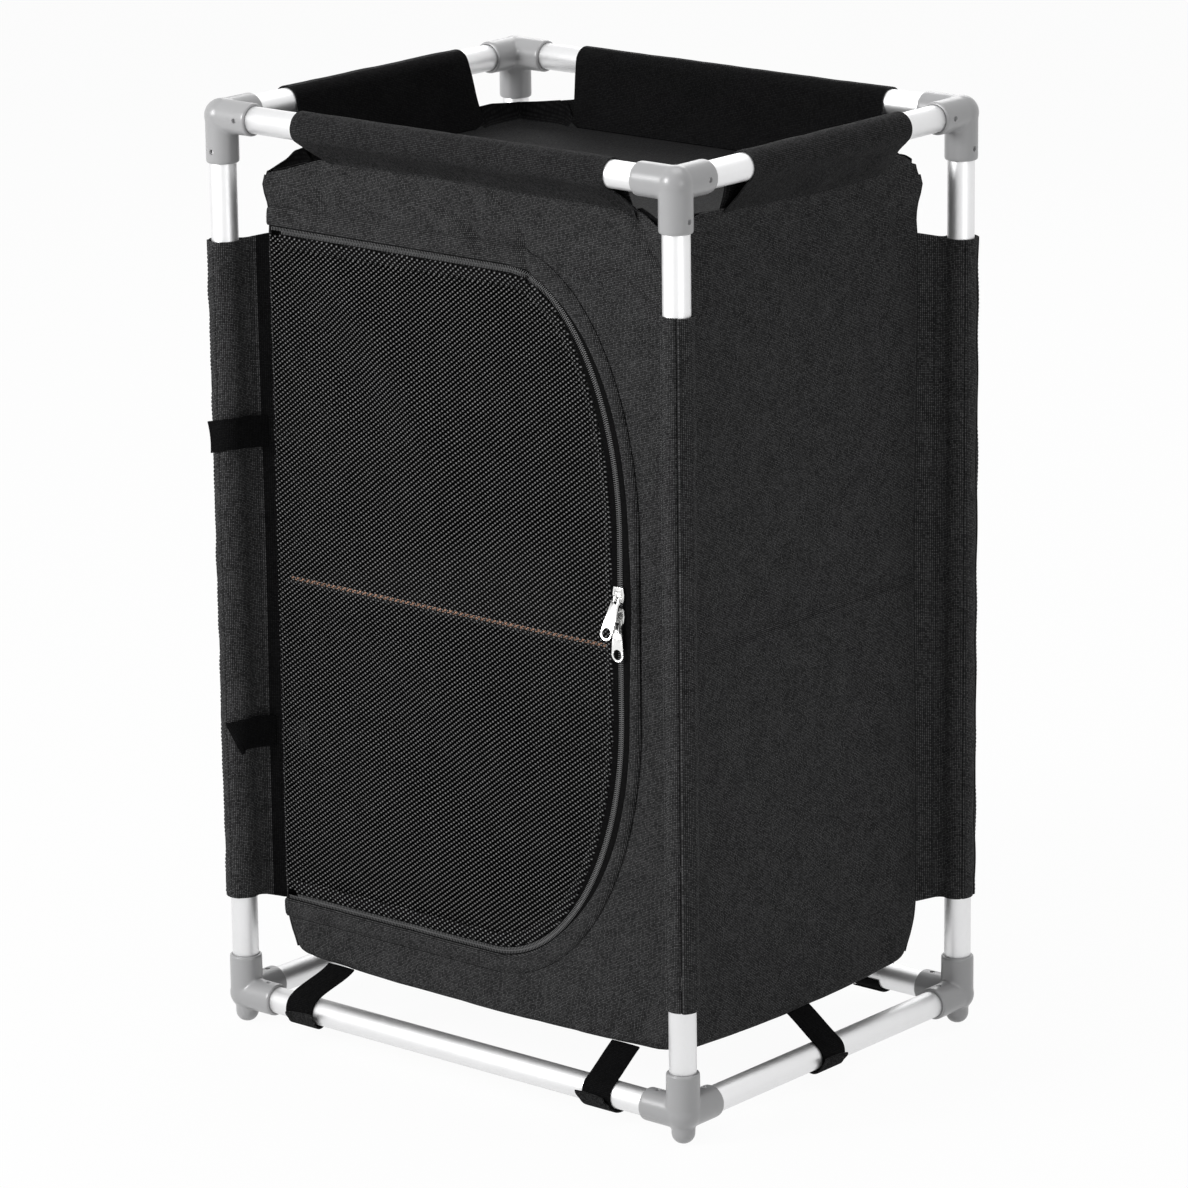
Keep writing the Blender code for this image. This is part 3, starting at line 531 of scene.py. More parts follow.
class Bench:
    """Blender's modelling tools, used on one object at a time."""

    @staticmethod
    def clear() -> None:
        """Deselects everything."""
        bpy.ops.object.select_all(action="DESELECT")

    @staticmethod
    def take(item: bpy.types.Object) -> bpy.types.Object:
        """Selects one object and makes it the active one.

        Args:
            item: The object to select.

        Returns:
            The same object.
        """
        Bench.clear()
        item.select_set(True)
        bpy.context.view_layer.objects.active = item
        return item

    @staticmethod
    def added(name: str) -> bpy.types.Object:
        """Names the primitive that was just added.

        Args:
            name: The name for the object and its mesh.

        Returns:
            The object.
        """
        item = bpy.context.object
        item.name = name
        item.data.name = name
        return item

    @staticmethod
    def cylinder(name: str, radius: float, low: float, high: float,
                 steps: int) -> bpy.types.Object:
        """Adds a cylinder on the Z axis.

        Args:
            name: Its name.
            radius: Its radius.
            low: Its lower end.
            high: Its upper end.
            steps: Its sides.

        Returns:
            The cylinder.
        """
        Bench.clear()
        bpy.ops.mesh.primitive_cylinder_add(vertices=steps, radius=radius, depth=high - low,
                                            location=(0.0, 0.0, (low + high) / 2))
        item = Bench.added(name)
        bpy.ops.object.transform_apply(location=True, rotation=True, scale=True)
        return item

    @staticmethod
    def block(name: str, low: Sequence[float], high: Sequence[float]) -> bpy.types.Object:
        """Adds a block between two corners.

        Args:
            name: The block's name.
            low: The corner with the lowest x, y and z.
            high: The corner with the highest ones.

        Returns:
            The block.
        """
        size = Vector(high) - Vector(low)
        Bench.clear()
        bpy.ops.mesh.primitive_cube_add(size=1.0, location=(Vector(low) + Vector(high)) / 2)
        item = Bench.added(name)
        item.scale = size
        bpy.ops.object.transform_apply(location=True, rotation=True, scale=True)
        return item

    @staticmethod
    def edit(item: bpy.types.Object, mode: str, test: Test) -> None:
        """Opens edit mode with the faces or edges that pass a test selected.

        Args:
            item: The object.
            mode: FACE, EDGE or VERT.
            test: Takes an element's middle and its normal.
        """
        Bench.take(item)
        bpy.ops.object.mode_set(mode="EDIT")
        bpy.ops.mesh.select_mode(type=mode)
        bpy.ops.mesh.select_all(action="DESELECT")
        shape = bmesh.from_edit_mesh(item.data)
        if mode == "FACE":
            for face in shape.faces:
                face.select = test(face.calc_center_median(), face.normal)
        elif mode == "EDGE":
            for edge in shape.edges:
                first, second = edge.verts
                edge.select = test((first.co + second.co) / 2, (second.co - first.co).normalized())
        else:
            for vertex in shape.verts:
                vertex.select = test(vertex.co, vertex.normal)
        shape.select_flush_mode()
        bmesh.update_edit_mesh(item.data)

    @staticmethod
    def done() -> None:
        """Leaves edit mode."""
        bpy.ops.object.mode_set(mode="OBJECT")

    @staticmethod
    def rim_at(height: float) -> Test:
        """Gives the test for the level edges at a height."""
        return lambda middle, along: abs(middle.z - height) < 1e-5 and abs(along.z) < 0.1

    @staticmethod
    def bevel(item: bpy.types.Object, test: Test, offset: float, segments: int) -> None:
        """Bevels the edges that pass a test.

        Args:
            item: The object to change.
            test: Tells which edges are bevelled.
            offset: The bevel's width.
            segments: The number of its steps.
        """
        Bench.edit(item, "EDGE", test)
        bpy.ops.mesh.bevel(offset=offset, segments=segments)
        Bench.done()

    @staticmethod
    def widen(item: bpy.types.Object, test: Test, share: float) -> None:
        """Scales the points that pass a test along X.

        Args:
            item: The object to change.
            test: Tells which points move.
            share: The new width as a share of the old one.
        """
        Bench.edit(item, "VERT", test)
        bpy.ops.transform.resize(value=(share, 1.0, 1.0), center_override=(0.0, 0.0, 0.0))
        Bench.done()

    @staticmethod
    def flare(item: bpy.types.Object, rise: float, share: float, centre: float) -> None:
        """Extrudes the top faces by a rise and widens them about a point of the Z axis.

        Args:
            item: The object to change.
            rise: How far the faces go up.
            share: Their new width as a share of the old one.
            centre: The height of the point that they widen about.
        """
        Bench.edit(item, "FACE", lambda middle, normal: normal.z > 0.9)
        bpy.ops.mesh.extrude_region_move(TRANSFORM_OT_translate={"value": (0.0, 0.0, rise)})
        bpy.ops.transform.resize(value=(share, share, 1.0), center_override=(0.0, 0.0, centre))
        Bench.done()

    @staticmethod
    def apply(item: bpy.types.Object, kind: str, **settings: object) -> bpy.types.Object:
        """Adds a modifier, sets it and applies it.

        Args:
            item: The object.
            kind: The modifier's type.
            settings: Its properties.

        Returns:
            The object.
        """
        Bench.take(item)
        modifier = item.modifiers.new("step", kind)
        for name, value in settings.items():
            setattr(modifier, name, value)
        bpy.ops.object.modifier_apply(modifier=modifier.name)
        return item

    @staticmethod
    def combine(item: bpy.types.Object, other: bpy.types.Object,
                operation: str) -> bpy.types.Object:
        """Joins another solid to an object or cuts it away, and removes the other.

        Args:
            item: The object that is kept.
            other: The solid that is used up.
            operation: Blender's name for the operation, such as UNION.

        Returns:
            The kept object.
        """
        Bench.apply(item, "BOOLEAN", object=other, operation=operation, solver="EXACT")
        bpy.data.objects.remove(other, do_unlink=True)
        return item

    @staticmethod
    def place(item: bpy.types.Object, matrix: Matrix) -> bpy.types.Object:
        """Moves a mesh, and turns its faces out again where the move mirrors it.

        Args:
            item: The object whose mesh moves.
            matrix: The move.

        Returns:
            The same object.
        """
        item.data.transform(matrix)
        if matrix.determinant() < 0:
            item.data.flip_normals()
        return item

    @staticmethod
    def copied(item: bpy.types.Object, name: str, matrix: Matrix) -> bpy.types.Object:
        """Copies a piece with its own mesh, and places the copy.

        Args:
            item: The piece to copy.
            name: The copy's name.
            matrix: The move from the piece's place to the copy's.

        Returns:
            The copy.
        """
        other = item.copy()
        other.data = item.data.copy()
        other.name = name
        other.data.name = name
        bpy.context.scene.collection.objects.link(other)
        return Bench.place(other, matrix)

    @staticmethod
    def shade(item: bpy.types.Object, degrees: float = 35.0) -> bpy.types.Object:
        """Shades a piece smooth, with its real edges sharp.

        Args:
            item: The piece.
            degrees: The angle from which an edge is sharp.

        Returns:
            The same piece.
        """
        Bench.take(item)
        bpy.ops.object.shade_smooth_by_angle(angle=math.radians(degrees))
        return item


def pointing(direction: Sequence[float], start: Sequence[float] = (0.0, 0.0, 0.0)) -> Matrix:
    """Gives the matrix that turns the Z axis along a direction from a point."""
    turn = Vector(direction).to_track_quat("Z", "Y").to_matrix().to_4x4()
    return Matrix.Translation(start) @ turn


def smooth_step(value: Points, low: float, high: float) -> Points:
    """Rises smoothly from 0 at low to 1 at high."""
    share = np.clip((value - low) / (high - low), 0.0, 1.0)
    return share * share * (3.0 - 2.0 * share)


def mesh_object(name: str, points: Points, faces: Sequence[Sequence[int]],
                cut: Points | None = None) -> bpy.types.Object:
    """Makes an object from points and faces.

    Args:
        name: The piece's name.
        points: Its points, one a row.
        faces: Its faces, as indices of points.
        cut: Each point's place on the flat cut, for the UV map.

    Returns:
        The object.
    """
    mesh = bpy.data.meshes.new(name)
    mesh.from_pydata([tuple(point) for point in points], [], [tuple(face) for face in faces])
    mesh.validate()
    if cut is not None:
        layer = mesh.uv_layers.new(name="cut")
        indices = np.zeros(len(mesh.loops), np.int32)
        mesh.loops.foreach_get("vertex_index", indices)
        layer.data.foreach_set("uv", np.asarray(cut, np.float32)[indices].ravel())
    mesh.shade_smooth()
    item = bpy.data.objects.new(name, mesh)
    bpy.context.scene.collection.objects.link(item)
    return item


def cloth_sheet(name: str, points: Points, cut: Points, keep: Points | None = None,
                thickness: float = FABRIC, offset: float = -1.0) -> bpy.types.Object:
    """Makes a sheet of cloth from a grid, with its thickness.

    Args:
        name: The piece's name.
        points: The grid's points, rows by columns by 3.
        cut: Their places on the flat cut, rows by columns by 2.
        keep: Which cells are cloth, or all of them.
        thickness: The cloth's thickness.
        offset: Solidify's offset: -1 keeps the grid as the outer face.

    Returns:
        The sheet.
    """
    rows, columns = points.shape[:2]
    index = np.arange(rows * columns).reshape(rows, columns)
    cells = np.stack((index[:-1, :-1], index[:-1, 1:], index[1:, 1:], index[1:, :-1]), -1)
    chosen = cells.reshape(-1, 4) if keep is None else cells[keep]
    used, faces = np.unique(chosen, return_inverse=True)
    item = mesh_object(name, points.reshape(-1, 3)[used], faces.reshape(-1, 4).tolist(),
                       cut.reshape(-1, 2)[used])
    return Bench.apply(item, "SOLIDIFY", thickness=thickness, offset=offset,
                       use_even_offset=False, use_rim=True)


def travelled(path: Points) -> Points:
    """Gives how far along a line each of its points lies."""
    return np.concatenate(([0.0], np.cumsum(np.linalg.norm(np.diff(path, axis=0), axis=1))))


def on_circle(angles: Points, radius: float) -> Points:
    """Gives the points of a circle about the origin at some angles."""
    return np.stack((np.cos(angles), np.sin(angles)), -1) * radius


def resample(path: Points, step: float) -> Points:
    """Spaces the points of a line evenly.

    Args:
        path: The line's points, one a row.
        step: The wanted distance between points.

    Returns:
        The new points, with the same two ends.
    """
    reached = travelled(path)
    count = max(2, int(round(reached[-1] / step)) + 1)
    wanted = np.linspace(0.0, reached[-1], count)
    return np.stack([np.interp(wanted, reached, path[:, axis]) for axis in range(path.shape[1])],
                    -1)


def headings(path: Points) -> Points:
    """Gives the unit direction of a line at each of its points."""
    along = np.gradient(path, axis=0)
    return along / np.linalg.norm(along, axis=1, keepdims=True)


def piping(name: str, path: Points, radius: float, sides: int) -> bpy.types.Object:
    """Makes a thin round welt along a line, with its ends closed.

    Args:
        name: The piece's name.
        path: The line's points.
        radius: The welt's radius.
        sides: The sides of its section.

    Returns:
        The welt.
    """
    ahead = headings(path)
    aside = np.array((0.31, -0.52, 0.79))  # A direction that no line here follows
    across = np.cross(ahead, aside)
    across /= np.linalg.norm(across, axis=1, keepdims=True)
    out = np.cross(across, ahead)
    turns = np.linspace(0.0, math.tau, sides, endpoint=False)
    cosine, sine = np.cos(turns)[None, :, None], np.sin(turns)[None, :, None]
    ring = path[:, None, :] + radius * (cosine * across[:, None, :] + sine * out[:, None, :])
    count = len(path)
    faces = []
    for row in range(count - 1):
        for side in range(sides):
            beside = (side + 1) % sides
            faces.append((row * sides + side, row * sides + beside,
                          (row + 1) * sides + beside, (row + 1) * sides + side))
    faces.append(tuple(range(sides))[::-1])
    faces.append(tuple((count - 1) * sides + side for side in range(sides)))
    cut = np.stack((np.tile(turns * radius, (count, 1)),
                    np.tile(travelled(path)[:, None], (1, sides))), -1)
    return tidy_solid(mesh_object(name, ring.reshape(-1, 3), faces, cut.reshape(-1, 2)))


def tidy_solid(item: bpy.types.Object) -> bpy.types.Object:
    """Turns a closed mesh's faces outwards.

    Args:
        item: The object with the closed mesh.

    Returns:
        The same object.
    """
    shape = bmesh.new()
    shape.from_mesh(item.data)
    bmesh.ops.recalc_face_normals(shape, faces=shape.faces)
    shape.to_mesh(item.data)
    shape.free()
    return item


@dataclass(frozen=True)
class Stitching:
    """A row of sewing thread: short raised stitches along a line."""

    pitch: float = 0.0034
    length: float = 0.0026
    radius: float = 0.00034

    def sew(self, name: str, rows: Sequence[tuple[Points, Points]]) -> bpy.types.Object:
        """Makes the stitches of one or more rows as one piece.

        Args:
            name: The piece's name.
            rows: For each row its line on the cloth and the cloth's normal.

        Returns:
            The stitches.
        """
        half = self.length / 2
        ends = ((-half, 0.25), (-half * 0.45, 1.0), (half * 0.45, 1.0), (half, 0.25))
        ring = ((0.0, 1.0), (-1.0, 0.1), (0.0, -0.6), (1.0, 0.1))
        template = np.array([(along, side * self.radius * size, (up * size) * self.radius)
                             for along, size in ends for side, up in ring])
        faces = [(row * 4 + side, row * 4 + (side + 1) % 4, (row + 1) * 4 + (side + 1) % 4,
                  (row + 1) * 4 + side) for row in range(3) for side in range(4)]
        faces += [(3, 2, 1, 0), (12, 13, 14, 15)]
        points = []
        for line, normal in rows:
            places = resample(np.asarray(line), self.pitch)
            ahead = headings(places)
            up = np.broadcast_to(np.asarray(normal, float), places.shape)
            side = np.cross(up, ahead)
            side /= np.linalg.norm(side, axis=1, keepdims=True)
            top = np.cross(ahead, side)
            made = (places[:, None, :] + template[None, :, 0, None] * ahead[:, None, :]
                    + template[None, :, 1, None] * side[:, None, :]
                    + template[None, :, 2, None] * top[:, None, :])
            points.append(made.reshape(-1, 3))
        points = np.concatenate(points)
        count = len(points) // 16
        every = [tuple(corner + 16 * stitch for corner in face)
                 for stitch in range(count) for face in faces]
        cut = np.stack((points[:, 0] + points[:, 1], points[:, 2]), -1)
        return tidy_solid(mesh_object(name, points, every, cut))


# ---------------------------------------------------------------- the frame


@dataclass
class TubeFrame:
    """Twelve aluminium tubes, each with a wall and a rounded rim at both ends."""

    radius: float = TUBE_RADIUS
    wall: float = 0.0012
    start: float = SOCKET_FLOOR + 0.0003
    steps: int = 64
    rim: float = 0.0002
    depth: float = 0.020

    def tube(self, name: str, length: float) -> bpy.types.Object:
        """Models one tube on the Z axis, from its rims inwards.

        Args:
            name: The tube's name.
            length: Its length along Z.

        Returns:
            The tube.
        """
        item = Bench.cylinder(name, self.radius, 0.0, length, self.steps)
        for end, way in ((0.0, 1.0), (length, -1.0)):
            Bench.edit(item, "FACE", lambda middle, normal, end=end: abs(middle.z - end) < 1e-5
                       and abs(normal.z) > 0.9)
            bpy.ops.mesh.inset(thickness=self.wall)
            bpy.ops.mesh.extrude_region_move(
                TRANSFORM_OT_translate={"value": (0.0, 0.0, way * self.depth)})
            Bench.done()
            Bench.bevel(item, Bench.rim_at(end), self.rim, 2)
        return Bench.shade(item)

    def build(self) -> None:
        """Makes the tubes: each length is modelled once and copied."""
        sizes = {"post": UPPER - LOWER, "width": 2 * HALF_WIDTH, "depth": 2 * HALF_DEPTH}
        for kind, span in sizes.items():
            model = self.tube(f"tube_model_{kind}", span - 2 * self.start)
            for name, low, way in self.places(kind):
                start = Vector(low) + Vector(way) * self.start
                item = Bench.copied(model, f"{name}_tube", pointing(way, start))
                hand_over(item, ALUMINIUM, "cupboard", name)
            bpy.data.objects.remove(model, do_unlink=True)

    @staticmethod
    def places(kind: str) -> list[tuple[str, tuple, tuple]]:
        """Lists each tube of a kind: its node, its start and its direction.

        Args:
            kind: The kind of tube to list.

        Returns:
            A node, a start and a direction each.
        """
        found = []
        ends = (("front", -HALF_DEPTH), ("back", HALF_DEPTH))
        sides = (("left", -HALF_WIDTH), ("right", HALF_WIDTH))
        if kind == "post":
            for end, y in ends:
                for side, x in sides:
                    found.append((f"post_{end}_{side}", (x, y, LOWER), (0, 0, 1)))
        for level, z in (("lower", LOWER), ("upper", UPPER)):
            if kind == "width":
                for end, y in ends:
                    found.append((f"{level}_rail_{end}", (-HALF_WIDTH, y, z), (1, 0, 0)))
            if kind == "depth":
                for side, x in sides:
                    found.append((f"{level}_rail_{side}", (x, -HALF_DEPTH, z), (0, 1, 0)))
        return found


@dataclass
class Corners:
    """Eight moulded corners: two arms and a leg that flow into one another."""

    radius: float = SOCKET_RADIUS
    swell: float = 0.0006
    arm: float = 0.0355
    upper_leg: float = 0.038
    lower_leg: float = 0.034
    mouth: float = 0.0012
    lip: float = 0.0007
    pin_radius: float = 0.0020
    pin_from_mouth: float = 0.010
    mouth_flare: float = 1.06
    pin_flare: float = 2.0
    foot_radius: float = 0.0095
    voxel: float = 0.0008
    rounds: int = 16
    steps: int = 56

    def arm_solid(self, name: str, way: Sequence[float], reach: float) -> bpy.types.Object:
        """Models one arm with a bevelled mouth.

        Args:
            name: The solid's name.
            way: The arm's direction.
            reach: How far its mouth is from the corner's middle.

        Returns:
            The arm's solid.
        """
        item = Bench.cylinder(name, self.radius, 0.0003, reach, self.steps)
        Bench.bevel(item, Bench.rim_at(reach), self.mouth, 3)
        return Bench.place(item, pointing(way))

    def foot_solid(self) -> bpy.types.Object:
        """Models the foot: a stub whose lower edge is bevelled into a dome.

        Returns:
            The foot's solid.
        """
        item = Bench.cylinder("foot", self.foot_radius, -LOWER, -0.0004, self.steps)
        Bench.bevel(item, Bench.rim_at(-LOWER), self.foot_radius * 0.92, 10)
        return item

    def corner(self, name: str, upper: bool) -> bpy.types.Object:
        """Models the front left corner of a level, about the point of its axes.

        Args:
            name: The model's name.
            upper: True for an upper corner, whose leg points down.

        Returns:
            The corner.
        """
        leg = (0.0, 0.0, -1.0) if upper else (0.0, 0.0, 1.0)
        leg_reach = self.upper_leg if upper else self.lower_leg
        reaches = (((1.0, 0.0, 0.0), self.arm), ((0.0, 1.0, 0.0), self.arm), (leg, leg_reach))
        item = self.arm_solid(name, leg, leg_reach)
        Bench.place(item, Matrix.Rotation(0.05, 4, "Z"))
        for number, (way, reach) in enumerate(reaches[:2]):
            Bench.combine(item, self.arm_solid(f"arm_{number}", way, reach), "UNION")
        Bench.clear()
        bpy.ops.mesh.primitive_uv_sphere_add(segments=48, ring_count=30,
                                             radius=self.radius + self.swell)
        Bench.combine(item, Bench.added("hub"), "UNION")
        if not upper:
            Bench.combine(item, self.foot_solid(), "UNION")
        Bench.apply(item, "REMESH", mode="VOXEL", voxel_size=self.voxel)
        Bench.apply(item, "SMOOTH", factor=0.5, iterations=self.rounds)
        for number, (way, reach) in enumerate(reaches):
            Bench.combine(item, self.bore(f"bore_{number}", way, reach), "DIFFERENCE")
        if upper:
            pinned = ((reaches[0], (0.0, -1.0, 0.0)), (reaches[2], (0.0, -1.0, 0.0)))
        else:
            pinned = ((reaches[0], (0.0, 0.0, 1.0)), (reaches[1], (0.0, 0.0, 1.0)))
        for number, ((way, reach), face) in enumerate(pinned):
            seat = Vector(way) * (reach - self.pin_from_mouth)
            Bench.combine(item, self.drill(f"pin_{number}", seat, face), "DIFFERENCE")
        return Bench.shade(item, 40.0)

    def bore(self, name: str, way: Sequence[float], reach: float) -> bpy.types.Object:
        """Models the cutter of one bore, wider at the mouth.

        Args:
            name: The cutter's name.
            way: The bore's direction.
            reach: How far its mouth is from the corner's middle.

        Returns:
            The cutter.
        """
        item = Bench.cylinder(name, BORE_RADIUS, SOCKET_FLOOR, reach - self.lip, 48)
        Bench.flare(item, self.lip + 0.002, self.mouth_flare, reach)
        return Bench.place(item, pointing(way) @ Matrix.Rotation(0.031, 4, "Z"))

    def drill(self, name: str, seat: Vector, face: Sequence[float]) -> bpy.types.Object:
        """Models the cutter of one pin hole, with a sunk rim.

        Args:
            name: The cutter's name.
            seat: The point that the hole's depths are measured from.
            face: The direction that the hole faces.

        Returns:
            The cutter.
        """
        surface = self.radius - 0.0006
        item = Bench.cylinder(name, self.pin_radius, self.radius * 0.55, surface, 28)
        Bench.flare(item, 0.0028, self.pin_flare, surface)
        return Bench.place(item, pointing(face, seat) @ Matrix.Rotation(0.043, 4, "Z"))

    def build(self) -> None:
        """Makes the eight corners from two models."""
        quarter = Matrix.Rotation(math.pi / 2, 4, "Z")
        flip_x = Matrix.Diagonal((-1.0, 1.0, 1.0, 1.0))
        flip_y = Matrix.Diagonal((1.0, -1.0, 1.0, 1.0))
        turns = {
            ("upper", "front", "left"): Matrix.Identity(4),
            ("upper", "front", "right"): quarter,
            ("upper", "back", "left"): flip_y,
            ("upper", "back", "right"): flip_y @ quarter,
            ("lower", "front", "left"): Matrix.Identity(4),
            ("lower", "front", "right"): flip_x,
            ("lower", "back", "left"): flip_y,
            ("lower", "back", "right"): flip_x @ flip_y,
        }
        models = {level: self.corner(f"corner_model_{level}", level == "upper")
                  for level in ("upper", "lower")}
        for (level, end, side), turn in turns.items():
            x = -HALF_WIDTH if side == "left" else HALF_WIDTH
            y = -HALF_DEPTH if end == "front" else HALF_DEPTH
            z = UPPER if level == "upper" else LOWER
            name = f"{level}_corner_{end}_{side}"
            item = Bench.copied(models[level], f"{name}_moulding",
                                Matrix.Translation((x, y, z)) @ turn)
            hand_over(item, PLASTIC, "cupboard", name)
        for model in models.values():
            bpy.data.objects.remove(model, do_unlink=True)


# ---------------------------------------------------------------- the cover


class Side(Enum):
    """A side of the cupboard, as quarter turns from the front."""

    FRONT = 0
    RIGHT = 1
    BACK = 2
    LEFT = 3

    @property
    def label(self) -> str:
        """The side's name in the CAD."""
        return self.name.lower()

    @property
    def face(self) -> float:
        """The distance from the middle to the cover's face."""
        return COVER_Y if self.value % 2 == 0 else COVER_X

    @property
    def rail(self) -> float:
        """The distance from the middle to the rail's axis."""
        return HALF_DEPTH if self.value % 2 == 0 else HALF_WIDTH

    @property
    def half(self) -> float:
        """Half of the cover's length along the side."""
        return COVER_X if self.value % 2 == 0 else COVER_Y

    def place(self, along: Points, out: Points, height: Points) -> Points:
        """Gives points of the side in the cupboard's own frame.

        Args:
            along: Distances along the side, to the right as seen from outside.
            out: Distances from the middle of the cupboard.
            height: Heights.

        Returns:
            The points, with x, y and z last.
        """
        x, y = along, -out
        for _ in range(self.value):
            x, y = -y, x
        return np.stack(np.broadcast_arrays(x, y, height), -1)

    def normal(self) -> Points:
        """Gives the direction that the side faces."""
        return self.place(np.array(0.0), np.array(1.0), np.array(0.0))


@dataclass(frozen=True)
class Fold:
    """A crease or ridge between two points of a side, as (along, height)."""

    start: tuple[float, float]
    end: tuple[float, float]
    width: float
    depth: float

    def press(self, along: Points, height: Points) -> Points:
        """Gives how far the fold pushes the cloth inwards at each point.

        Args:
            along: The points' places along the cloth.
            height: Their heights.

        Returns:
            The push at each point.
        """
        first = np.array(self.start)
        run = np.array(self.end) - first
        share = np.clip(((along - first[0]) * run[0] + (height - first[1]) * run[1])
                        / (run @ run), 0.0, 1.0)
        away = np.hypot(along - first[0] - share * run[0], height - first[1] - share * run[1])
        fade = 0.35 + 0.65 * np.sin(math.pi * (0.12 + 0.76 * share))
        return self.depth * fade * np.exp(-(away / self.width) ** 2)


def ripples(along: Points, height: Points, seed: int, size: float) -> Points:
    """Gives a slow uneven wave over a surface.

    Args:
        along: Distances along the surface.
        height: Heights on it.
        seed: Chooses the wave.
        size: The waves' rough length in metres.

    Returns:
        The wave, from about -1 to 1.
    """
    source = np.random.default_rng(seed)
    total = np.zeros(np.broadcast(along, height).shape)
    for _ in range(7):
        turn = source.uniform(0.0, math.tau)
        pace = math.tau / (size * source.uniform(0.6, 1.6))
        shift = source.uniform(0.0, math.tau)
        total += np.sin(pace * (math.cos(turn) * along + math.sin(turn) * height) + shift)
    return total / 3.5


def zip_line(offset: float, left: float, steps: int = 48) -> Points:
    """Gives the zip's line as (x, z) points from its upper to its lower end.

    Args:
        offset: Moves the line outwards, away from the door.
        left: Where both ends are.
        steps: The points of each quarter of the curve.

    Returns:
        The points, one a row.
    """
    points = [np.array([(left, ZIP_TOP + offset)])]
    corners = ((0.112, 0.200, 1, ZIP_TOP - 0.200), (0.137, 0.2185, -1, ZIP_BOTTOM + 0.2185))
    turn = np.linspace(0.0, math.pi / 2, steps)
    for width, height, side, middle in corners:
        normal = np.stack((np.sin(turn) / width, np.cos(turn) / height), -1)
        normal /= np.linalg.norm(normal, axis=1, keepdims=True)
        arc = np.stack((ZIP_RIGHT - width + width * np.sin(turn) + normal[:, 0] * offset,
                        middle + side * (height * np.cos(turn) + normal[:, 1] * offset)), -1)
        points.append(arc if side > 0 else arc[::-1])
    points.append(np.array([(left, ZIP_BOTTOM - offset)]))
    return np.concatenate(points)


def nearest(line: Points, x: Points, z: Points) -> tuple[Points, Points, Points]:
    """Finds the nearest point of a line.

    Args:
        line: The line's (x, z) points.
        x: The places' x.
        z: The places' z.

    Returns:
        The distance, and the nearest point's x and z.
    """
    flat = np.stack((x.ravel(), z.ravel()), -1)
    best = np.full(len(flat), 1e9)
    spot = np.zeros_like(flat)
    for first, second in zip(line[:-1], line[1:]):
        run = second - first
        share = np.clip(((flat - first) @ run) / (run @ run), 0.0, 1.0)
        near = first + share[:, None] * run
        away = np.linalg.norm(flat - near, axis=1)
        closer = away < best
        best[closer] = away[closer]
        spot[closer] = near[closer]
    return best.reshape(x.shape), spot[:, 0].reshape(x.shape), spot[:, 1].reshape(x.shape)


def inside(loop: Points, x: Points, z: Points) -> Points:
    """Tells which places lie inside a closed line.

    Args:
        loop: The closed line's points, as x and z.
        x: The places' x.
        z: The places' z.

    Returns:
        True for each place inside.
    """
    found = np.zeros(x.shape, bool)
    for (ax, az), (bx, bz) in zip(loop, np.roll(loop, -1, axis=0)):
        crosses = (az > z) != (bz > z)
        slope = (bx - ax) / (bz - az) if bz != az else 0.0
        found ^= crosses & (x < ax + slope * (z - az))
    return found


FRONT_FOLDS = (
    Fold((-0.152, 0.722), (-0.145, 0.690), 0.0050, 0.0030),
    Fold((-0.172, 0.722), (-0.160, 0.690), 0.0070, -0.0018),
    Fold((-0.116, 0.732), (-0.115, 0.718), 0.0042, 0.0020),
    Fold((-0.073, 0.734), (-0.054, 0.729), 0.0042, 0.0028),
    Fold((-0.054, 0.729), (-0.004, 0.7075), 0.0044, 0.0058),
    Fold((-0.004, 0.7075), (0.019, 0.685), 0.0044, 0.0052),
    Fold((-0.044, 0.716), (-0.004, 0.694), 0.0080, -0.0022),
    Fold((0.038, 0.731), (0.0556, 0.7117), 0.0044, 0.0052),
    Fold((0.0556, 0.7117), (0.066, 0.670), 0.0044, 0.0048),
    Fold((0.122, 0.730), (0.118, 0.700), 0.0080, 0.0014),
    Fold((0.172, 0.735), (0.181, 0.728), 0.0036, 0.0050),
    Fold((0.181, 0.728), (0.184, 0.712), 0.0036, 0.0052),
    Fold((0.184, 0.712), (0.197, 0.692), 0.0040, 0.0044),
    Fold((0.168, 0.722), (0.174, 0.700), 0.0060, -0.0014),
    Fold((0.100, 0.060), (0.118, 0.098), 0.0060, 0.0016),
    Fold((0.140, 0.060), (0.156, 0.092), 0.0040, 0.0014),
    Fold((0.165, 0.060), (0.186, 0.104), 0.0050, 0.0018),
    Fold((0.060, 0.060), (0.075, 0.086), 0.0070, 0.0011),
    Fold((-0.150, 0.058), (-0.128, 0.092), 0.0070, 0.0015),
    Fold((-0.178, 0.070), (-0.150, 0.100), 0.0080, 0.0012),
)
SIDE_FOLDS = (
    Fold((-0.152, 0.3850), (0.154, 0.3850), 0.0030, 0.0016),
    Fold((-0.154, 0.3740), (0.154, 0.3740), 0.0100, -0.0022),
    Fold((-0.154, 0.3960), (0.154, 0.3960), 0.0100, -0.0008),
    Fold((-0.130, 0.722), (-0.120, 0.660), 0.0060, 0.0018),
    Fold((-0.108, 0.720), (-0.112, 0.650), 0.0080, -0.0014),
    Fold((-0.090, 0.716), (-0.080, 0.680), 0.0060, 0.0012),
    Fold((0.118, 0.728), (0.110, 0.640), 0.0050, -0.0016),
    Fold((0.130, 0.722), (0.127, 0.610), 0.0050, 0.0018),
    Fold((-0.120, 0.064), (-0.110, 0.110), 0.0080, 0.0012),
    Fold((0.020, 0.060), (0.030, 0.095), 0.0080, 0.0012),
    Fold((0.110, 0.064), (0.095, 0.110), 0.0090, 0.0012),
    Fold((-0.100, 0.395), (-0.085, 0.450), 0.0100, 0.0010),
    Fold((0.080, 0.372), (0.095, 0.300), 0.0120, 0.0011),
)
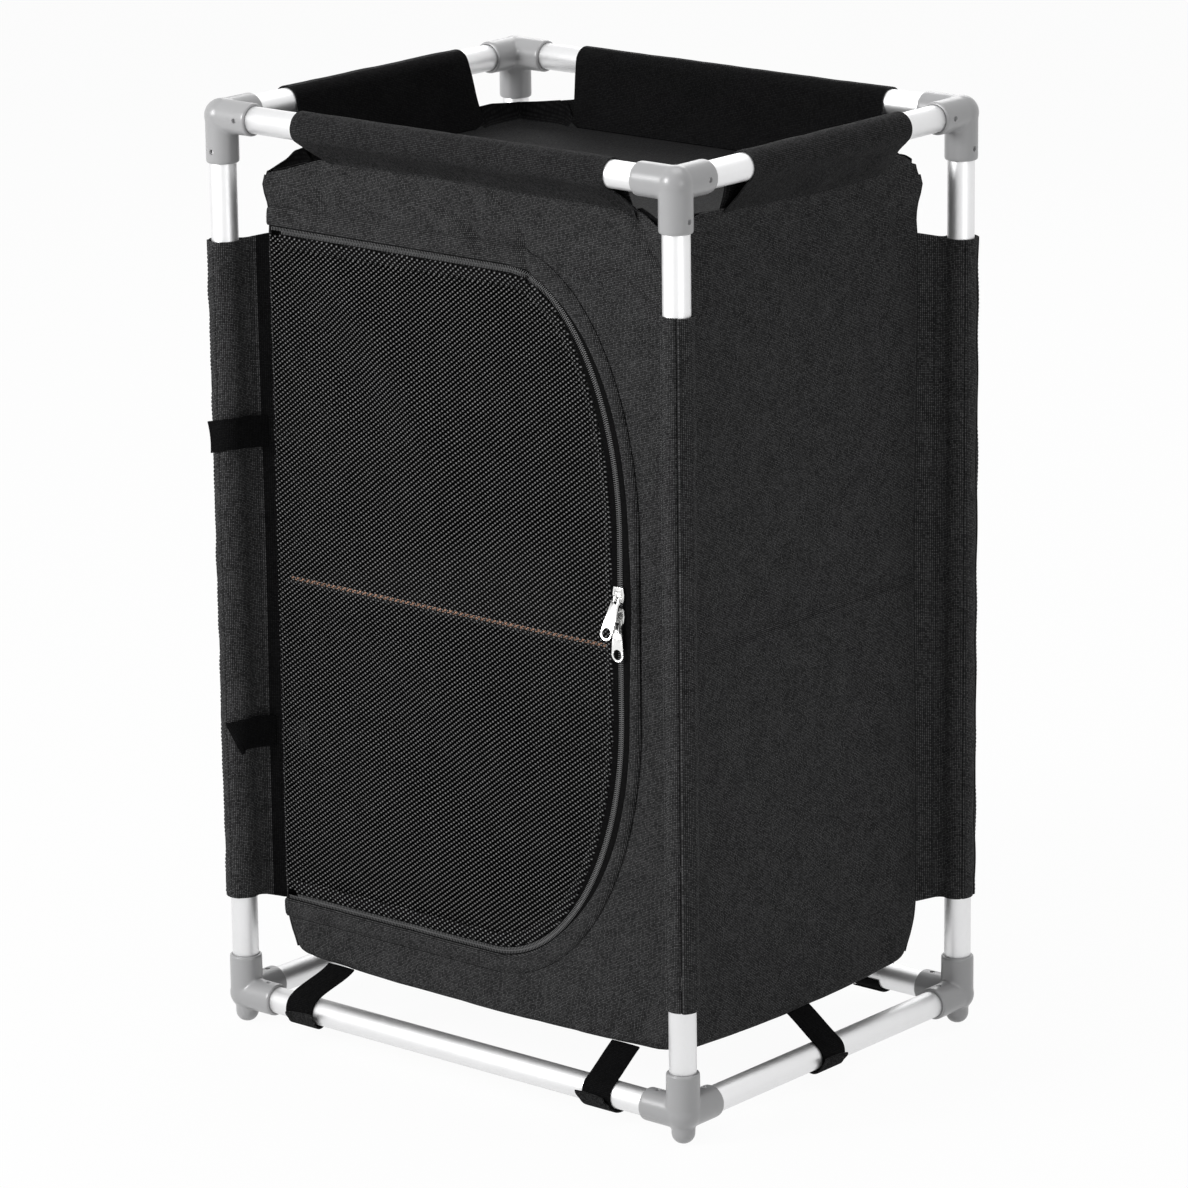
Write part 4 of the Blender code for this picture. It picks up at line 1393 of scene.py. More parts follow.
DOOR_FOLDS = (
    Fold((-0.200, 0.640), (-0.090, 0.520), 0.0220, 0.0034),
    Fold((-0.150, 0.665), (-0.020, 0.500), 0.0180, -0.0028),
    Fold((-0.190, 0.480), (0.060, 0.410), 0.0260, 0.0022),
    Fold((-0.180, 0.330), (0.080, 0.180), 0.0300, 0.0028),
    Fold((-0.120, 0.360), (0.100, 0.260), 0.0220, -0.0022),
    Fold((-0.190, 0.140), (0.040, 0.130), 0.0160, 0.0016),
)
RIMS = {
    Side.FRONT: ((-0.2100, 0.7185), (-0.1950, 0.7225), (-0.1750, 0.7285), (-0.1550, 0.7345),
                 (-0.1350, 0.7385), (-0.0810, 0.7402), (-0.0340, 0.7400), (0.1060, 0.7390),
                 (0.1780, 0.7376), (0.1860, 0.7330), (0.2000, 0.7250), (0.2100, 0.7185)),
    Side.RIGHT: ((-0.1560, 0.7185), (-0.1450, 0.7240), (-0.1280, 0.7300), (-0.0970, 0.7303),
                 (-0.0830, 0.7310), (0.0430, 0.7262), (0.1000, 0.7285), (0.1130, 0.7365),
                 (0.1290, 0.7370), (0.1420, 0.7335), (0.1505, 0.7290), (0.1560, 0.7240)),
    Side.BACK: ((-0.2100, 0.7240), (-0.1860, 0.7330), (-0.1720, 0.7376), (-0.1060, 0.7390),
                (0.0340, 0.7400), (0.1400, 0.7395), (0.1600, 0.7355), (0.1850, 0.7320),
                (0.2100, 0.7290)),
    Side.LEFT: ((-0.1560, 0.7290), (-0.1300, 0.7315), (-0.1060, 0.7305), (0.0430, 0.7280),
                (0.1060, 0.7305), (0.1220, 0.7290), (0.1400, 0.7235), (0.1560, 0.7185)),
}


@dataclass
class Cover:
    """The fabric box: four walls, the floor, the tray with its raised rim."""

    cell: float = 0.0028
    radii: tuple[tuple[float, float], ...] = ((0.060, 0.0270), (0.068, 0.0230), (0.080, 0.0145),
                                              (0.092, 0.0085), (0.105, 0.0052), (0.160, 0.0045),
                                              (0.690, 0.0040), (0.730, 0.0070))
    hem_radius: float = 0.0060
    sag: float = 0.0055
    lean: float = 0.27
    tray_gap: float = 0.0034
    climb: float = 0.0022
    welt: float = 0.0014
    shelf_threads: tuple[float, float] = (0.3875, 0.3805)
    door: Points = field(default_factory=lambda: zip_line(FABRIC_EDGE, HINGE_X))
    chain: Points = field(default_factory=lambda: zip_line(0.0, HINGE_X))

    def corner_radius(self, height: Points) -> Points:
        """Gives the radius of the upright edges, larger where the box rests."""
        return np.interp(height, *zip(*self.radii))

    @staticmethod
    def corner_push(height: Points) -> Points:
        """Gives how far the upright edges stand out, as at a pillow's corner.

        Args:
            height: The heights.

        Returns:
            The push at each height.
        """
        return (0.0028 * np.exp(-((height - 0.7080) / 0.0110) ** 2)
                - 0.0010 * np.exp(-((height - 0.6800) / 0.0130) ** 2)
                - 0.0016 * np.exp(-((height - 0.4000) / 0.1400) ** 2))

    @staticmethod
    def belly(flat: Points) -> Points:
        """Gives the share of the sag along an edge: whole in the middle, less at its ends."""
        return (1.0 - (flat * 0.96) ** 2) ** 0.8

    def rim(self, side: Side, along: Points) -> Points:
        """Gives the height of a wall's upper edge."""
        return np.interp(along, *zip(*RIMS[side]))

    def zip_calm(self, x: Points, z: Points) -> Points:
        """Gives 0 on the zip and 1 away from it, so that the chain stays even."""
        away, _, _ = nearest(self.chain[::3], x, z)
        return smooth_step(away, 0.004, 0.060)

    def swell(self, side: Side, along: Points, height: Points) -> Points:
        """Gives how far a wall's cloth stands out from its plane.

        Args:
            side: The wall's side.
            along: Distances along it.
            height: Heights on it.

        Returns:
            The distances, outwards.
        """
        across = np.clip(1.0 - (along / side.half) ** 2, 0.0, 1.0)
        share = np.clip((height - COVER_BOTTOM) / (COVER_TOP - COVER_BOTTOM), 0.0, 1.0)
        up = np.clip(np.sin(math.pi * share), 0.0, 1.0) ** 0.6
        wave = ripples(along, height, 11 + side.value, 0.16)
        fine = ripples(along, height, 31 + side.value, 0.035)
        if side is Side.FRONT:
            calm = self.zip_calm(along, height)
            out = calm * (0.0016 * across * up + 0.0011 * wave * across)
            out = out + 0.00022 * fine * calm
            folds = FRONT_FOLDS
        elif side is Side.BACK:
            out = 0.0024 * across * up + 0.0014 * wave * across + 0.0002 * fine
            folds = FRONT_FOLDS[:6] + FRONT_FOLDS[9:]
        else:
            out = -0.0016 * across * up + 0.0016 * wave * across + 0.0002 * fine
            folds = SIDE_FOLDS
        pressed = sum(fold.press(along, height) for fold in folds)
        tight = 1.0 - 0.85 * np.exp(-((height - COVER_TOP) / 0.0045) ** 2)
        most = np.where(height > COVER_TOP - 0.0075, 0.0020, 0.0060)
        return out - np.minimum(pressed * tight, most)

    def above(self, side: Side, along: Points, height: Points) -> Points:
        """Gives how far the wall leans out above the tray, along the skirt.

        Args:
            side: The wall.
            along: The places along it.
            height: Their heights.

        Returns:
            The lean at each place.
        """
        rise = np.clip(height - COVER_TOP, 0.0, None)
        reach = side.half - np.abs(along)
        return rise * self.lean * smooth_step(reach, 0.0, 0.060)

    def outside(self, side: Side, along: Points, height: Points) -> Points:
        """Gives the distance of a wall's outer face from the middle."""
        return side.face + self.swell(side, along, height) + self.above(side, along, height)

    def wall(self, side: Side) -> bpy.types.Object:
        """Makes one wall with its rounded upright edges and its hem.

        Args:
            side: The wall's side.

        Returns:
            The wall.
        """
        arc = 5
        middle = int(round(2 * side.half / self.cell))
        turn = np.concatenate((np.linspace(-1.0, -1.0 / arc, arc), np.zeros(middle + 1),
                               np.linspace(1.0 / arc, 1.0, arc))) * math.pi / 4
        flat = np.concatenate((np.full(arc, -1.0), np.linspace(-1.0, 1.0, middle + 1),
                               np.full(arc, 1.0)))
        rows = int(round((COVER_TOP - COVER_BOTTOM) / self.cell))
        body = np.linspace(0.0, 1.0, rows + 1)[1:]
        hem_turn = np.linspace(math.pi / 2, 0.0, 6)
        columns = len(flat)
        height = np.zeros((len(body) + len(hem_turn), columns))
        tuck = np.zeros_like(height)
        sag = self.sag * self.belly(flat)
        corner_lift = 0.001 * smooth_step(np.abs(flat) + np.abs(turn) / 3, 0.90, 1.25)
        bottom = COVER_BOTTOM - sag + corner_lift
        for row, angle in enumerate(hem_turn):
            height[row] = bottom + self.hem_radius * (1.0 - math.sin(angle))
            tuck[row] = self.hem_radius * (1.0 - math.cos(angle))
        start = bottom + self.hem_radius
        guess = self.rim(side, flat * side.half)
        for row, share in enumerate(body):
            height[row + len(hem_turn)] = start + (guess - start) * share
        radius = self.corner_radius(height)
        along = flat * (side.half - radius) + radius * np.sin(turn)
        tuck = tuck + radius * (1.0 - np.cos(turn))
        keep = None
        if side is Side.FRONT:
            along, height, keep = self.trimmed(along, height)
        out = self.outside(side, along, height) - tuck
        cut = np.stack((along, height), -1)
        push = self.corner_push(height) * smooth_step(np.abs(along), side.half - 0.040,
                                                      side.half - 0.002)
        out = out + push
        along = along + np.sign(along) * push
        item = cloth_sheet(f"{side.label}_wall", side.place(along, out, height), cut, keep)
        facing = side.normal()
        # Painted shade: the wall's inner faces above the tray get the near-black cloth that stands
        # in for the shade inside the box.
        painted(item, CHARCOAL, PAINTED_SHADE, lambda face: face.center.z > COVER_TOP
                and float(np.dot(face.normal, facing)) < 0.0)
        Bench.shade(item, CLOTH_ANGLE)
        hand_over(item, CHARCOAL, "cupboard", f"{side.label}_panel")
        return item

    def trimmed(self, along: Points, height: Points) -> tuple[Points, Points, Points]:
        """Cuts the doorway out of a grid, with the cut edge on the zip's line.

        Args:
            along: The grid's x.
            height: The grid's z.

        Returns:
            The moved x and z, and which cells are left.
        """
        loop = np.concatenate((np.array([(-0.25, ZIP_TOP + FABRIC_EDGE)]), self.door,
                               np.array([(-0.25, ZIP_BOTTOM - FABRIC_EDGE)])))
        return snapped(loop, loop, along, height, False)

    def tray(self) -> bpy.types.Object:
        """Makes the table top's cloth, whose rim climbs the walls and skirts.

        Returns:
            The cloth.
        """
        def spaced(half: float) -> Points:
            """Gives the grid's lines, close together near both rims.

            Args:
                half: Half the distance from rim to rim.

            Returns:
                The lines' places, rising from -half to half.
            """
            fine = half - np.array((0.0, 0.0015, 0.003, 0.005, 0.008, 0.012, 0.018))
            middle = np.linspace(-fine[-1], fine[-1], int(2 * fine[-1] / 0.008) + 2)[1:-1]
            return np.concatenate((-fine, middle, fine[::-1]))
        half_x, half_y = COVER_X - self.tray_gap, COVER_Y - self.tray_gap
        x, y = np.meshgrid(spaced(half_x), spaced(half_y))
        near_x, near_y = half_x - np.abs(x), half_y - np.abs(y)
        rise_x = np.where(x > 0, self.rim(Side.RIGHT, y), self.rim(Side.LEFT, -y)) - COVER_TOP
        rise_y = np.where(y < 0, self.rim(Side.FRONT, x), self.rim(Side.BACK, -x)) - COVER_TOP
        climb_x = np.exp(-near_x / self.climb) * rise_x * smooth_step(np.abs(y), 0.098, 0.112)
        climb_y = (np.exp(-near_y / self.climb) * rise_y
                   * smooth_step(np.abs(x - 0.008), 0.150, 0.170))
        rest = (0.0006 * ripples(x, y, 5, 0.20)
                * (1 - np.exp(-np.minimum(near_x, near_y) / 0.02)))
        z = COVER_TOP + np.maximum(climb_x, climb_y) + rest * 0.4
        lean_x = self.lean * smooth_step(near_y, 0.0, 0.060)
        lean_y = self.lean * smooth_step(near_x, 0.0, 0.060)
        x, y = rounded(x, y, half_x, half_y, 0.0050)
        x = x + np.sign(x) * climb_x * lean_x
        y = y + np.sign(y) * climb_y * lean_y
        cut = np.stack((x, y), -1)
        item = cloth_sheet("tray_cloth", np.stack((x, y, z), -1), cut)
        Bench.shade(item, CLOTH_ANGLE)
        # Painted shade: the tray's rim, where it climbs the walls and skirts, gets the near-black
        # cloth that stands in for the shade there.
        painted(item, TRAY_CLOTH, PAINTED_SHADE, lambda face: face.center.z > COVER_TOP + 0.0015)
        hand_over(item, TRAY_CLOTH, "cupboard", "top_panel")
        return item

    @staticmethod
    def flat_sheet(node: str, top: float, rests: str) -> None:
        """Makes a level sheet inside the box: the shelf's sling or the board's pocket.

        Args:
            node: The CAD node that it stands for.
            top: The height of its upper face.
            rests: What it hangs from; not used.
        """
        x, y = np.meshgrid(np.linspace(-INNER_X, INNER_X, 50), np.linspace(-INNER_Y, INNER_Y, 38))
        z = top + 0.0002 * ripples(x, y, 3, 0.05)
        item = cloth_sheet(f"{node}_cloth", np.stack((x, y, z), -1), np.stack((x, y), -1))
        hand_over(item, CHARCOAL, "cupboard", node)

    def floor(self) -> None:
        """Makes the floor's cloth, which sags and has rounded corners like the walls."""
        half_x, half_y = COVER_X - self.hem_radius, COVER_Y - self.hem_radius
        flat_x, flat_y = np.meshgrid(np.linspace(-1.0, 1.0, 64), np.linspace(-1.0, 1.0, 48))
        x, y = rounded(flat_x * half_x, flat_y * half_y, half_x, half_y,
                       self.radii[0][1] - self.hem_radius * 0.5)
        profile = np.maximum(self.belly(flat_x), self.belly(flat_y))
        z = COVER_BOTTOM + FABRIC - self.sag * profile + 0.0002 * ripples(x, y, 3, 0.05)
        item = cloth_sheet("floor_cloth", np.stack((x, y, z), -1), np.stack((x, y), -1))
        hand_over(item, CHARCOAL, "cupboard", "floor_panel")

    def seams(self) -> None:
        """Makes the welts down the upright edges and the rows of thread."""
        heights = np.linspace(COVER_BOTTOM + 0.004, COVER_TOP + 0.001, 90)
        for side, name in ((Side.FRONT, "front_right"), (Side.RIGHT, "back_right"),
                           (Side.BACK, "back_left"), (Side.LEFT, "front_left")):
            radius = self.corner_radius(heights)
            diagonal = radius * (1.0 - math.cos(math.pi / 4)) - self.corner_push(heights)
            path = side.place(side.half - diagonal, side.face - diagonal, heights)
            welt = piping(f"corner_welt_{name}", path, self.welt, 8)
            hand_over(welt, CHARCOAL, "cupboard")
        rows = []
        for side in (Side.RIGHT, Side.LEFT):
            for level in self.shelf_threads:
                along = np.linspace(-0.146, 0.150, 150)
                height = np.full_like(along, level)
                out = self.outside(side, along, height) + 0.0002
                rows.append((side.place(along, out, height), side.normal()))
        hand_over(Stitching().sew("cover_stitching", rows), THREAD, "cupboard")

    def build(self) -> None:
        """Makes the whole cover."""
        for side in Side:
            self.wall(side)
        self.tray()
        self.floor()
        self.flat_sheet("shelf_sling", SLING_TOP, "shelf_board_panel")
        self.flat_sheet("top_board_pocket", POCKET_TOP, "top_board_panel")
        self.seams()


def rounded(x: Points, y: Points, half_x: float, half_y: float,
            radius: float) -> tuple[Points, Points]:
    """Draws a rectangle's grid in to round its corners.

    Args:
        x: The grid's x.
        y: The grid's y.
        half_x: Half of the rectangle's width.
        half_y: Half of its depth.
        radius: The corners' radius.

    Returns:
        The moved x and y.
    """
    past_x = np.clip(np.abs(x) - (half_x - radius), 0.0, None)
    past_y = np.clip(np.abs(y) - (half_y - radius), 0.0, None)
    reach = np.maximum(np.hypot(past_x, past_y), 1e-9)
    share = np.where((past_x > 0) & (past_y > 0), np.maximum(past_x, past_y) / reach, 1.0)
    return (np.sign(x) * (np.abs(x) - past_x + past_x * share),
            np.sign(y) * (np.abs(y) - past_y + past_y * share))


def snapped(loop: Points, line: Points, along: Points, height: Points,
            keep_inside: bool) -> tuple[Points, Points, Points]:
    """Trims a grid by a closed line, and moves its edge points onto a line.

    Args:
        loop: The closed line.
        line: The line that the edge points move to.
        along: The grid's x.
        height: The grid's z.
        keep_inside: True to keep what lies inside the loop.

    Returns:
        The moved x and z, and which cells are left.
    """
    middle_x = (along[1:, 1:] + along[:-1, :-1] + along[1:, :-1] + along[:-1, 1:]) / 4
    middle_z = (height[1:, 1:] + height[:-1, :-1] + height[1:, :-1] + height[:-1, 1:]) / 4
    keep = inside(loop, middle_x, middle_z) == keep_inside
    kept = np.zeros(along.shape, int)
    gone = np.zeros(along.shape, int)
    for rows, columns in ((slice(0, -1), slice(0, -1)), (slice(0, -1), slice(1, None)),
                          (slice(1, None), slice(0, -1)), (slice(1, None), slice(1, None))):
        kept[rows, columns] += keep
        gone[rows, columns] += ~keep
    rim = (kept > 0) & (gone > 0)
    _, near_x, near_z = nearest(line, along[rim], height[rim])
    along, height = along.copy(), height.copy()
    along[rim] = near_x
    height[rim] = near_z
    return along, height, keep


@dataclass
class Boards:
    """Three fibreboards with dark faces and raw brown edges."""

    half_x: float = INNER_X - 0.004
    half_y: float = INNER_Y - 0.004
    corner: float = 0.010
    floor_corner: float = 0.0240
    blunt: float = 0.0003

    def build(self) -> None:
        """Makes the boards: the floor's has rounder corners than the other two."""
        self.cut("floor", self.floor_corner, ("floor_board",))
        self.cut("level", self.corner, ("shelf_board", "top_board"))

    def cut(self, label: str, corner: float, nodes: Sequence[str]) -> None:
        """Makes the boards of one shape.

        Args:
            label: Names the model.
            corner: The radius of the board's corners.
            nodes: The CAD nodes that they stand for.
        """
        model = Bench.block(f"board_model_{label}", (-self.half_x, -self.half_y, -BOARD),
                            (self.half_x, self.half_y, 0.0))
        Bench.bevel(model, lambda middle, along: abs(along.z) > 0.9, corner, 8)
        Bench.bevel(model, lambda middle, along: abs(along.z) < 0.1, self.blunt, 2)
        Bench.shade(model)
        for node in nodes:
            item = Bench.copied(model, f"{node}_panel",
                                Matrix.Translation((0.0, 0.0, BOARD_TOPS[node])))
            painted(item, BOARD_EDGE, BOARD_FACE, lambda face: abs(face.normal.z) > 0.8)
            hand_over(item, BOARD_EDGE, "cupboard", node)
        bpy.data.objects.remove(model, do_unlink=True)


def tangent_angle(point: tuple[float, float], radius: float, turn: int) -> float:
    """Gives where a line from a point touches a circle about the origin."""
    return (math.atan2(point[1], point[0])
            + turn * math.acos(radius / math.hypot(*point)))


@dataclass(frozen=True)
class SkirtCut:
    """One skirt's ends: along the rail, and along its lower seam."""

    side: Side
    rail: tuple[float, float]
    seam: tuple[float, float]
    seam_height: float


@dataclass
class Skirts:
    """Sleeves round the upper rails: cloth that goes up, over and down again."""

    cover: Cover
    radius: float = 0.0122
    overlap: float = 0.0035
    above_wall: float = 0.0009
    cell: float = 0.0055
    slope: float = 0.0227 / 0.0505
    inner_steps: int = 9
    arc_steps: int = 26
    outer_steps: int = 8
    cuts: tuple[SkirtCut, ...] = (
        SkirtCut(Side.FRONT, (-0.148, 0.172), (-0.135, 0.179), 0.7395),
        SkirtCut(Side.RIGHT, (-0.099, 0.098), (-0.098, 0.108), 0.7290),
        SkirtCut(Side.BACK, (-0.164, 0.156), (-0.172, 0.148), 0.7395),
        SkirtCut(Side.LEFT, (-0.106, 0.104), (-0.108, 0.104), 0.7290),
    )

    def profile(self, side: Side, seam_height: float) -> tuple[Points, Points]:
        """Gives the section from the tray's edge, over the rail, to the seam.

        Args:
            side: The skirt's side.
            seam_height: The height of its outer seam.

        Returns:
            The section's (out, height) points, and how far each is down a leg
            (0 at the rail, 1 at the leg's lower end).
        """
        rail = side.rail
        inner_end = (side.face - 0.0040 - rail, COVER_TOP + 0.0004 - UPPER)
        seam_out = side.face + (seam_height - COVER_TOP) * self.slope + 0.0002
        outer_end = (seam_out - rail, seam_height - UPPER)
        first = tangent_angle(inner_end, self.radius, -1)
        last = tangent_angle(outer_end, self.radius, 1)
        while first < last:
            first += math.tau
        arc = np.linspace(first, last, self.arc_steps)
        circle = on_circle(arc, self.radius)
        inner = np.linspace(inner_end, circle[0], self.inner_steps)[:-1]
        outer = np.linspace(circle[-1], outer_end, self.outer_steps)[1:]
        section = np.concatenate((inner, circle, outer)) + np.array((rail, UPPER))
        down = np.concatenate((np.linspace(1.0, 0.0, self.inner_steps)[:-1],
                               np.zeros(self.arc_steps),
                               np.linspace(0.0, 1.0, self.outer_steps)[1:]))
        return section, down

    def skirt(self, cut: SkirtCut) -> None:
        """Makes one skirt with its folds and the cord of its seam.

        Args:
            cut: The skirt's measures.
        """
        side = cut.side
        section, down = self.profile(side, cut.seam_height)
        leg_x, leg_y = (rail + (seam - rail) * down for rail, seam in zip(cut.rail, cut.seam))
        columns = int((cut.rail[1] - cut.rail[0]) / self.cell) + 1
        share = np.linspace(0.0, 1.0, columns)
        along = leg_x[:, None] + (leg_y - leg_x)[:, None] * share[None, :]
        reached = travelled(section)
        level = np.broadcast_to(reached[:, None], along.shape)
        wave = ripples(along, level, 51 + side.value, 0.06) * 0.0009
        strain = ripples(along, level * 0.4, 71 + side.value, 0.022) * 0.0003
        free = (down * (1.0 - down) * 4.0)[:, None]
        middle = section - np.array((side.rail, UPPER))
        ahead = headings(section)
        normal = np.stack((ahead[:, 1], -ahead[:, 0]), -1)
        normal *= np.sign((normal * middle).sum(axis=1, keepdims=True) + 1e-9)
        push = (wave + strain) * (0.25 + free) - 0.0007 * free
        leg = np.concatenate((np.zeros(self.inner_steps - 1 + self.arc_steps),
                              np.linspace(0.0, 1.0, self.outer_steps)[1:]))[:, None]
        edge_height = self.cover.rim(side, along[-1]) - self.overlap
        edge_out = self.cover.outside(side, along[-1], edge_height) + self.above_wall
        out = (section[:, 0][:, None] + normal[:, 0][:, None] * push
               + leg * (edge_out - section[-1, 0]))
        height = (section[:, 1][:, None] + normal[:, 1][:, None] * push
                  + leg * (edge_height - section[-1, 1]))
        places = np.stack((along, level), -1)
        points = side.place(along, out, height)
        for name, up, radius in (("welt", 0.02, 0.0008), ("stitching", 0.42, 0.00034)):
            line_out = out[-1] + (out[-2] - out[-1]) * up + FABRIC / 2
            line_height = height[-1] + (height[-2] - height[-1]) * up
            row = (side.place(along[-1], line_out, line_height)[2:-2], side.normal())
            sewing = (Stitching(pitch=0.0060, length=0.0060, radius=radius) if name == "welt"
                      else Stitching(radius=radius))
            hand_over(sewing.sew(f"skirt_{side.label}_{name}", [row]), THREAD, "cupboard")
        item = cloth_sheet(f"skirt_{side.label}_cloth", points, places, offset=0.0)
        Bench.shade(item, CLOTH_ANGLE)
        facing = side.normal()
        # Painted shade: the faces that face into the box get the near-black cloth that stands in
        # for the shade under the skirt.
        painted(item, SKIRT_CLOTH, PAINTED_SHADE,
                lambda face: float(np.dot(face.normal, facing)) < -0.25)
        hand_over(item, SKIRT_CLOTH, "cupboard", f"skirt_{side.label}")

    def build(self) -> None:
        """Makes the four skirts."""
        for cut in self.cuts:
            self.skirt(cut)


@dataclass
class PostSleeves:
    """Sleeves round the posts, with the double web that joins them to the cover."""

    cover: Cover
    radius: float = 0.0122
    low: float = 0.1110
    high: float = 0.6640
    layer: float = 0.0011
    lap: float = 0.0014
    web: float = 0.018
    sway: float = 0.0012
    puff: float = 0.0005
    lift: float = 0.0003
    thread_gap: float = 0.0002

    def section(self) -> Points:
        """Gives the section in a plane: the post at (0, 0), the cover along +X.

        Returns:
            The section's points in order.
        """
        reach = math.hypot(HALF_WIDTH - COVER_X, HALF_DEPTH - COVER_Y) - 0.0012
        join = self.radius + 0.0052
        half = self.layer / 2 + 0.00005
        spread = 0.42
        fine = np.linspace(-0.06, 0.06, 9)
        arc = np.unique(np.concatenate((np.linspace(spread, math.tau - spread, 30),
                                        math.pi * (0.53 + fine), math.pi * (0.965 + fine))))
        circle = on_circle(arc, self.radius)
        web = np.linspace(reach, join, 7)
        upper = np.stack((web, np.full_like(web, half)), -1)
        bend = np.array([(self.radius + 0.0018, 0.0027)])
        return np.concatenate((upper, bend, circle, bend * (1, -1), (upper * (1, -1))[::-1]))

    def sleeve(self, end: str, side: str) -> None:
        """Makes one sleeve with its web and its rows of thread.

        Args:
            end: The end of the cupboard, front or back.
            side: Its side, left or right.
        """
        inward = np.array((1.0 if side == "left" else -1.0, 1.0 if end == "front" else -1.0))
        inward /= np.linalg.norm(inward)
        across = np.array((-inward[1], inward[0]))
        post = np.array((-HALF_WIDTH if side == "left" else HALF_WIDTH,
                         -HALF_DEPTH if end == "front" else HALF_DEPTH))

        def spot(x: Points, y: Points, z: Points) -> Points:
            """Gives places from the section's plane in the cupboard's frame."""
            return np.stack((post[0] + inward[0] * x + across[0] * y,
                             post[1] + inward[1] * x + across[1] * y, z), -1)

        section = self.section()
        reached = travelled(section)
        rows = 100
        share = np.linspace(0.0, 1.0, rows)
        level = self.low + (self.high - self.low) * share
        x = np.broadcast_to(section[:, 0], (rows, len(section)))
        y = np.broadcast_to(section[:, 1], (rows, len(section)))
        far = np.clip((x - self.radius) / self.web, 0.0, 1.0)
        seed = 91 + 2 * (end == "back") + (side == "right")
        z = level[:, None] + (share[:, None] - 0.5) * 2 * far * 0.004
        x = x + far * (0.4142 * self.cover.corner_radius(z) + 0.0014
                       - math.sqrt(2.0) * self.cover.corner_push(z))
        sway = self.sway * ripples(x * 0.0, z, seed, 0.14) * far * (1 - far) * 4
        puff = self.puff * ripples(np.arctan2(y, x) * 0.012, z, seed + 7, 0.045)
        angle = np.mod(np.arctan2(y, x), math.tau)
        puff = (puff + self.lift
                + self.lap * smooth_step(angle, math.pi * 0.965, math.pi * 0.985))
        puff = puff - self.lap * smooth_step(angle, math.pi * 1.35, math.pi * 1.5)
        puff = puff - 0.0017 * np.exp(-((angle - math.pi * 0.955) / 0.060) ** 2)
        puff = puff - 0.0012 * np.exp(-((angle - math.pi * 0.530) / 0.070) ** 2)
        length = np.maximum(np.hypot(x, y), 1e-6)
        round_part = 1.0 - smooth_step(x, self.radius * 0.6, self.radius + 0.004)
        x = x + x / length * puff * round_part
        y = y + y / length * puff * round_part + sway
        cut = np.stack((np.broadcast_to(reached, x.shape), z), -1)
        name = f"post_sleeve_{end}_{side}"
        item = cloth_sheet(f"{name}_cloth", spot(x, y, z), cut, thickness=self.layer, offset=0.0)
        Bench.shade(item, CLOTH_ANGLE)
        # Painted shade: on the front left sleeve, the web's far part gets the near-black cloth that
        # stands in for the shade on it, turned away from the light.
        if (end, side) == ("front", "left"):
            painted(item, SLEEVE_CLOTH, PAINTED_SHADE,
                    lambda face: (face.center.x - post[0]) * inward[0]
                    + (face.center.y - post[1]) * inward[1] > self.radius + 0.0125)
        hand_over(item, SLEEVE_CLOTH, "cupboard", name)
        seam = self.radius + 0.0070
        heights = np.linspace(self.low + 0.004, self.high - 0.004, 160)
        lines = []
        for turn in (1.0, -1.0):
            for place in (seam, seam + 0.0022):
                far_here = min(1.0, (place - self.radius) / self.web)
                swing = self.sway * ripples(np.zeros_like(heights), heights, seed, 0.14)
                shift = (turn * (self.layer + self.thread_gap)
                         + swing * far_here * (1 - far_here) * 4)
                lines.append((spot(place, shift, heights), np.array((*(across * turn), 0.0))))
        for turn, lift in ((0.60, self.lift), (1.035, self.lift + self.lap),
                           (1.25, self.lift + self.lap)):
            distance = self.radius + lift + self.layer / 2 + self.thread_gap
            way = (inward * math.cos(turn * math.pi) + across * math.sin(turn * math.pi))
            angles = np.full_like(heights, math.pi * (turn - 2.0 if turn > 1.0 else turn))
            distance = distance + self.puff * ripples(angles * 0.012, heights, seed + 7, 0.045)
            lines.append((np.stack((post[0] + way[0] * distance, post[1] + way[1] * distance,
                                    heights), -1), np.array((*way, 0.0))))
        hand_over(Stitching().sew(f"{name}_stitching", lines), THREAD, "cupboard")

    def build(self) -> None:
        """Makes the four sleeves."""
        for end in ("front", "back"):
            for side in ("left", "right"):
                self.sleeve(end, side)


# ---------------------------------------------------------------- the door


def zip_half(outward: int) -> tuple[str, str]:
    """Gives the label and the body of the zip's half on one side of the chain."""
    return ("cover", "cupboard") if outward > 0 else ("door", "door")


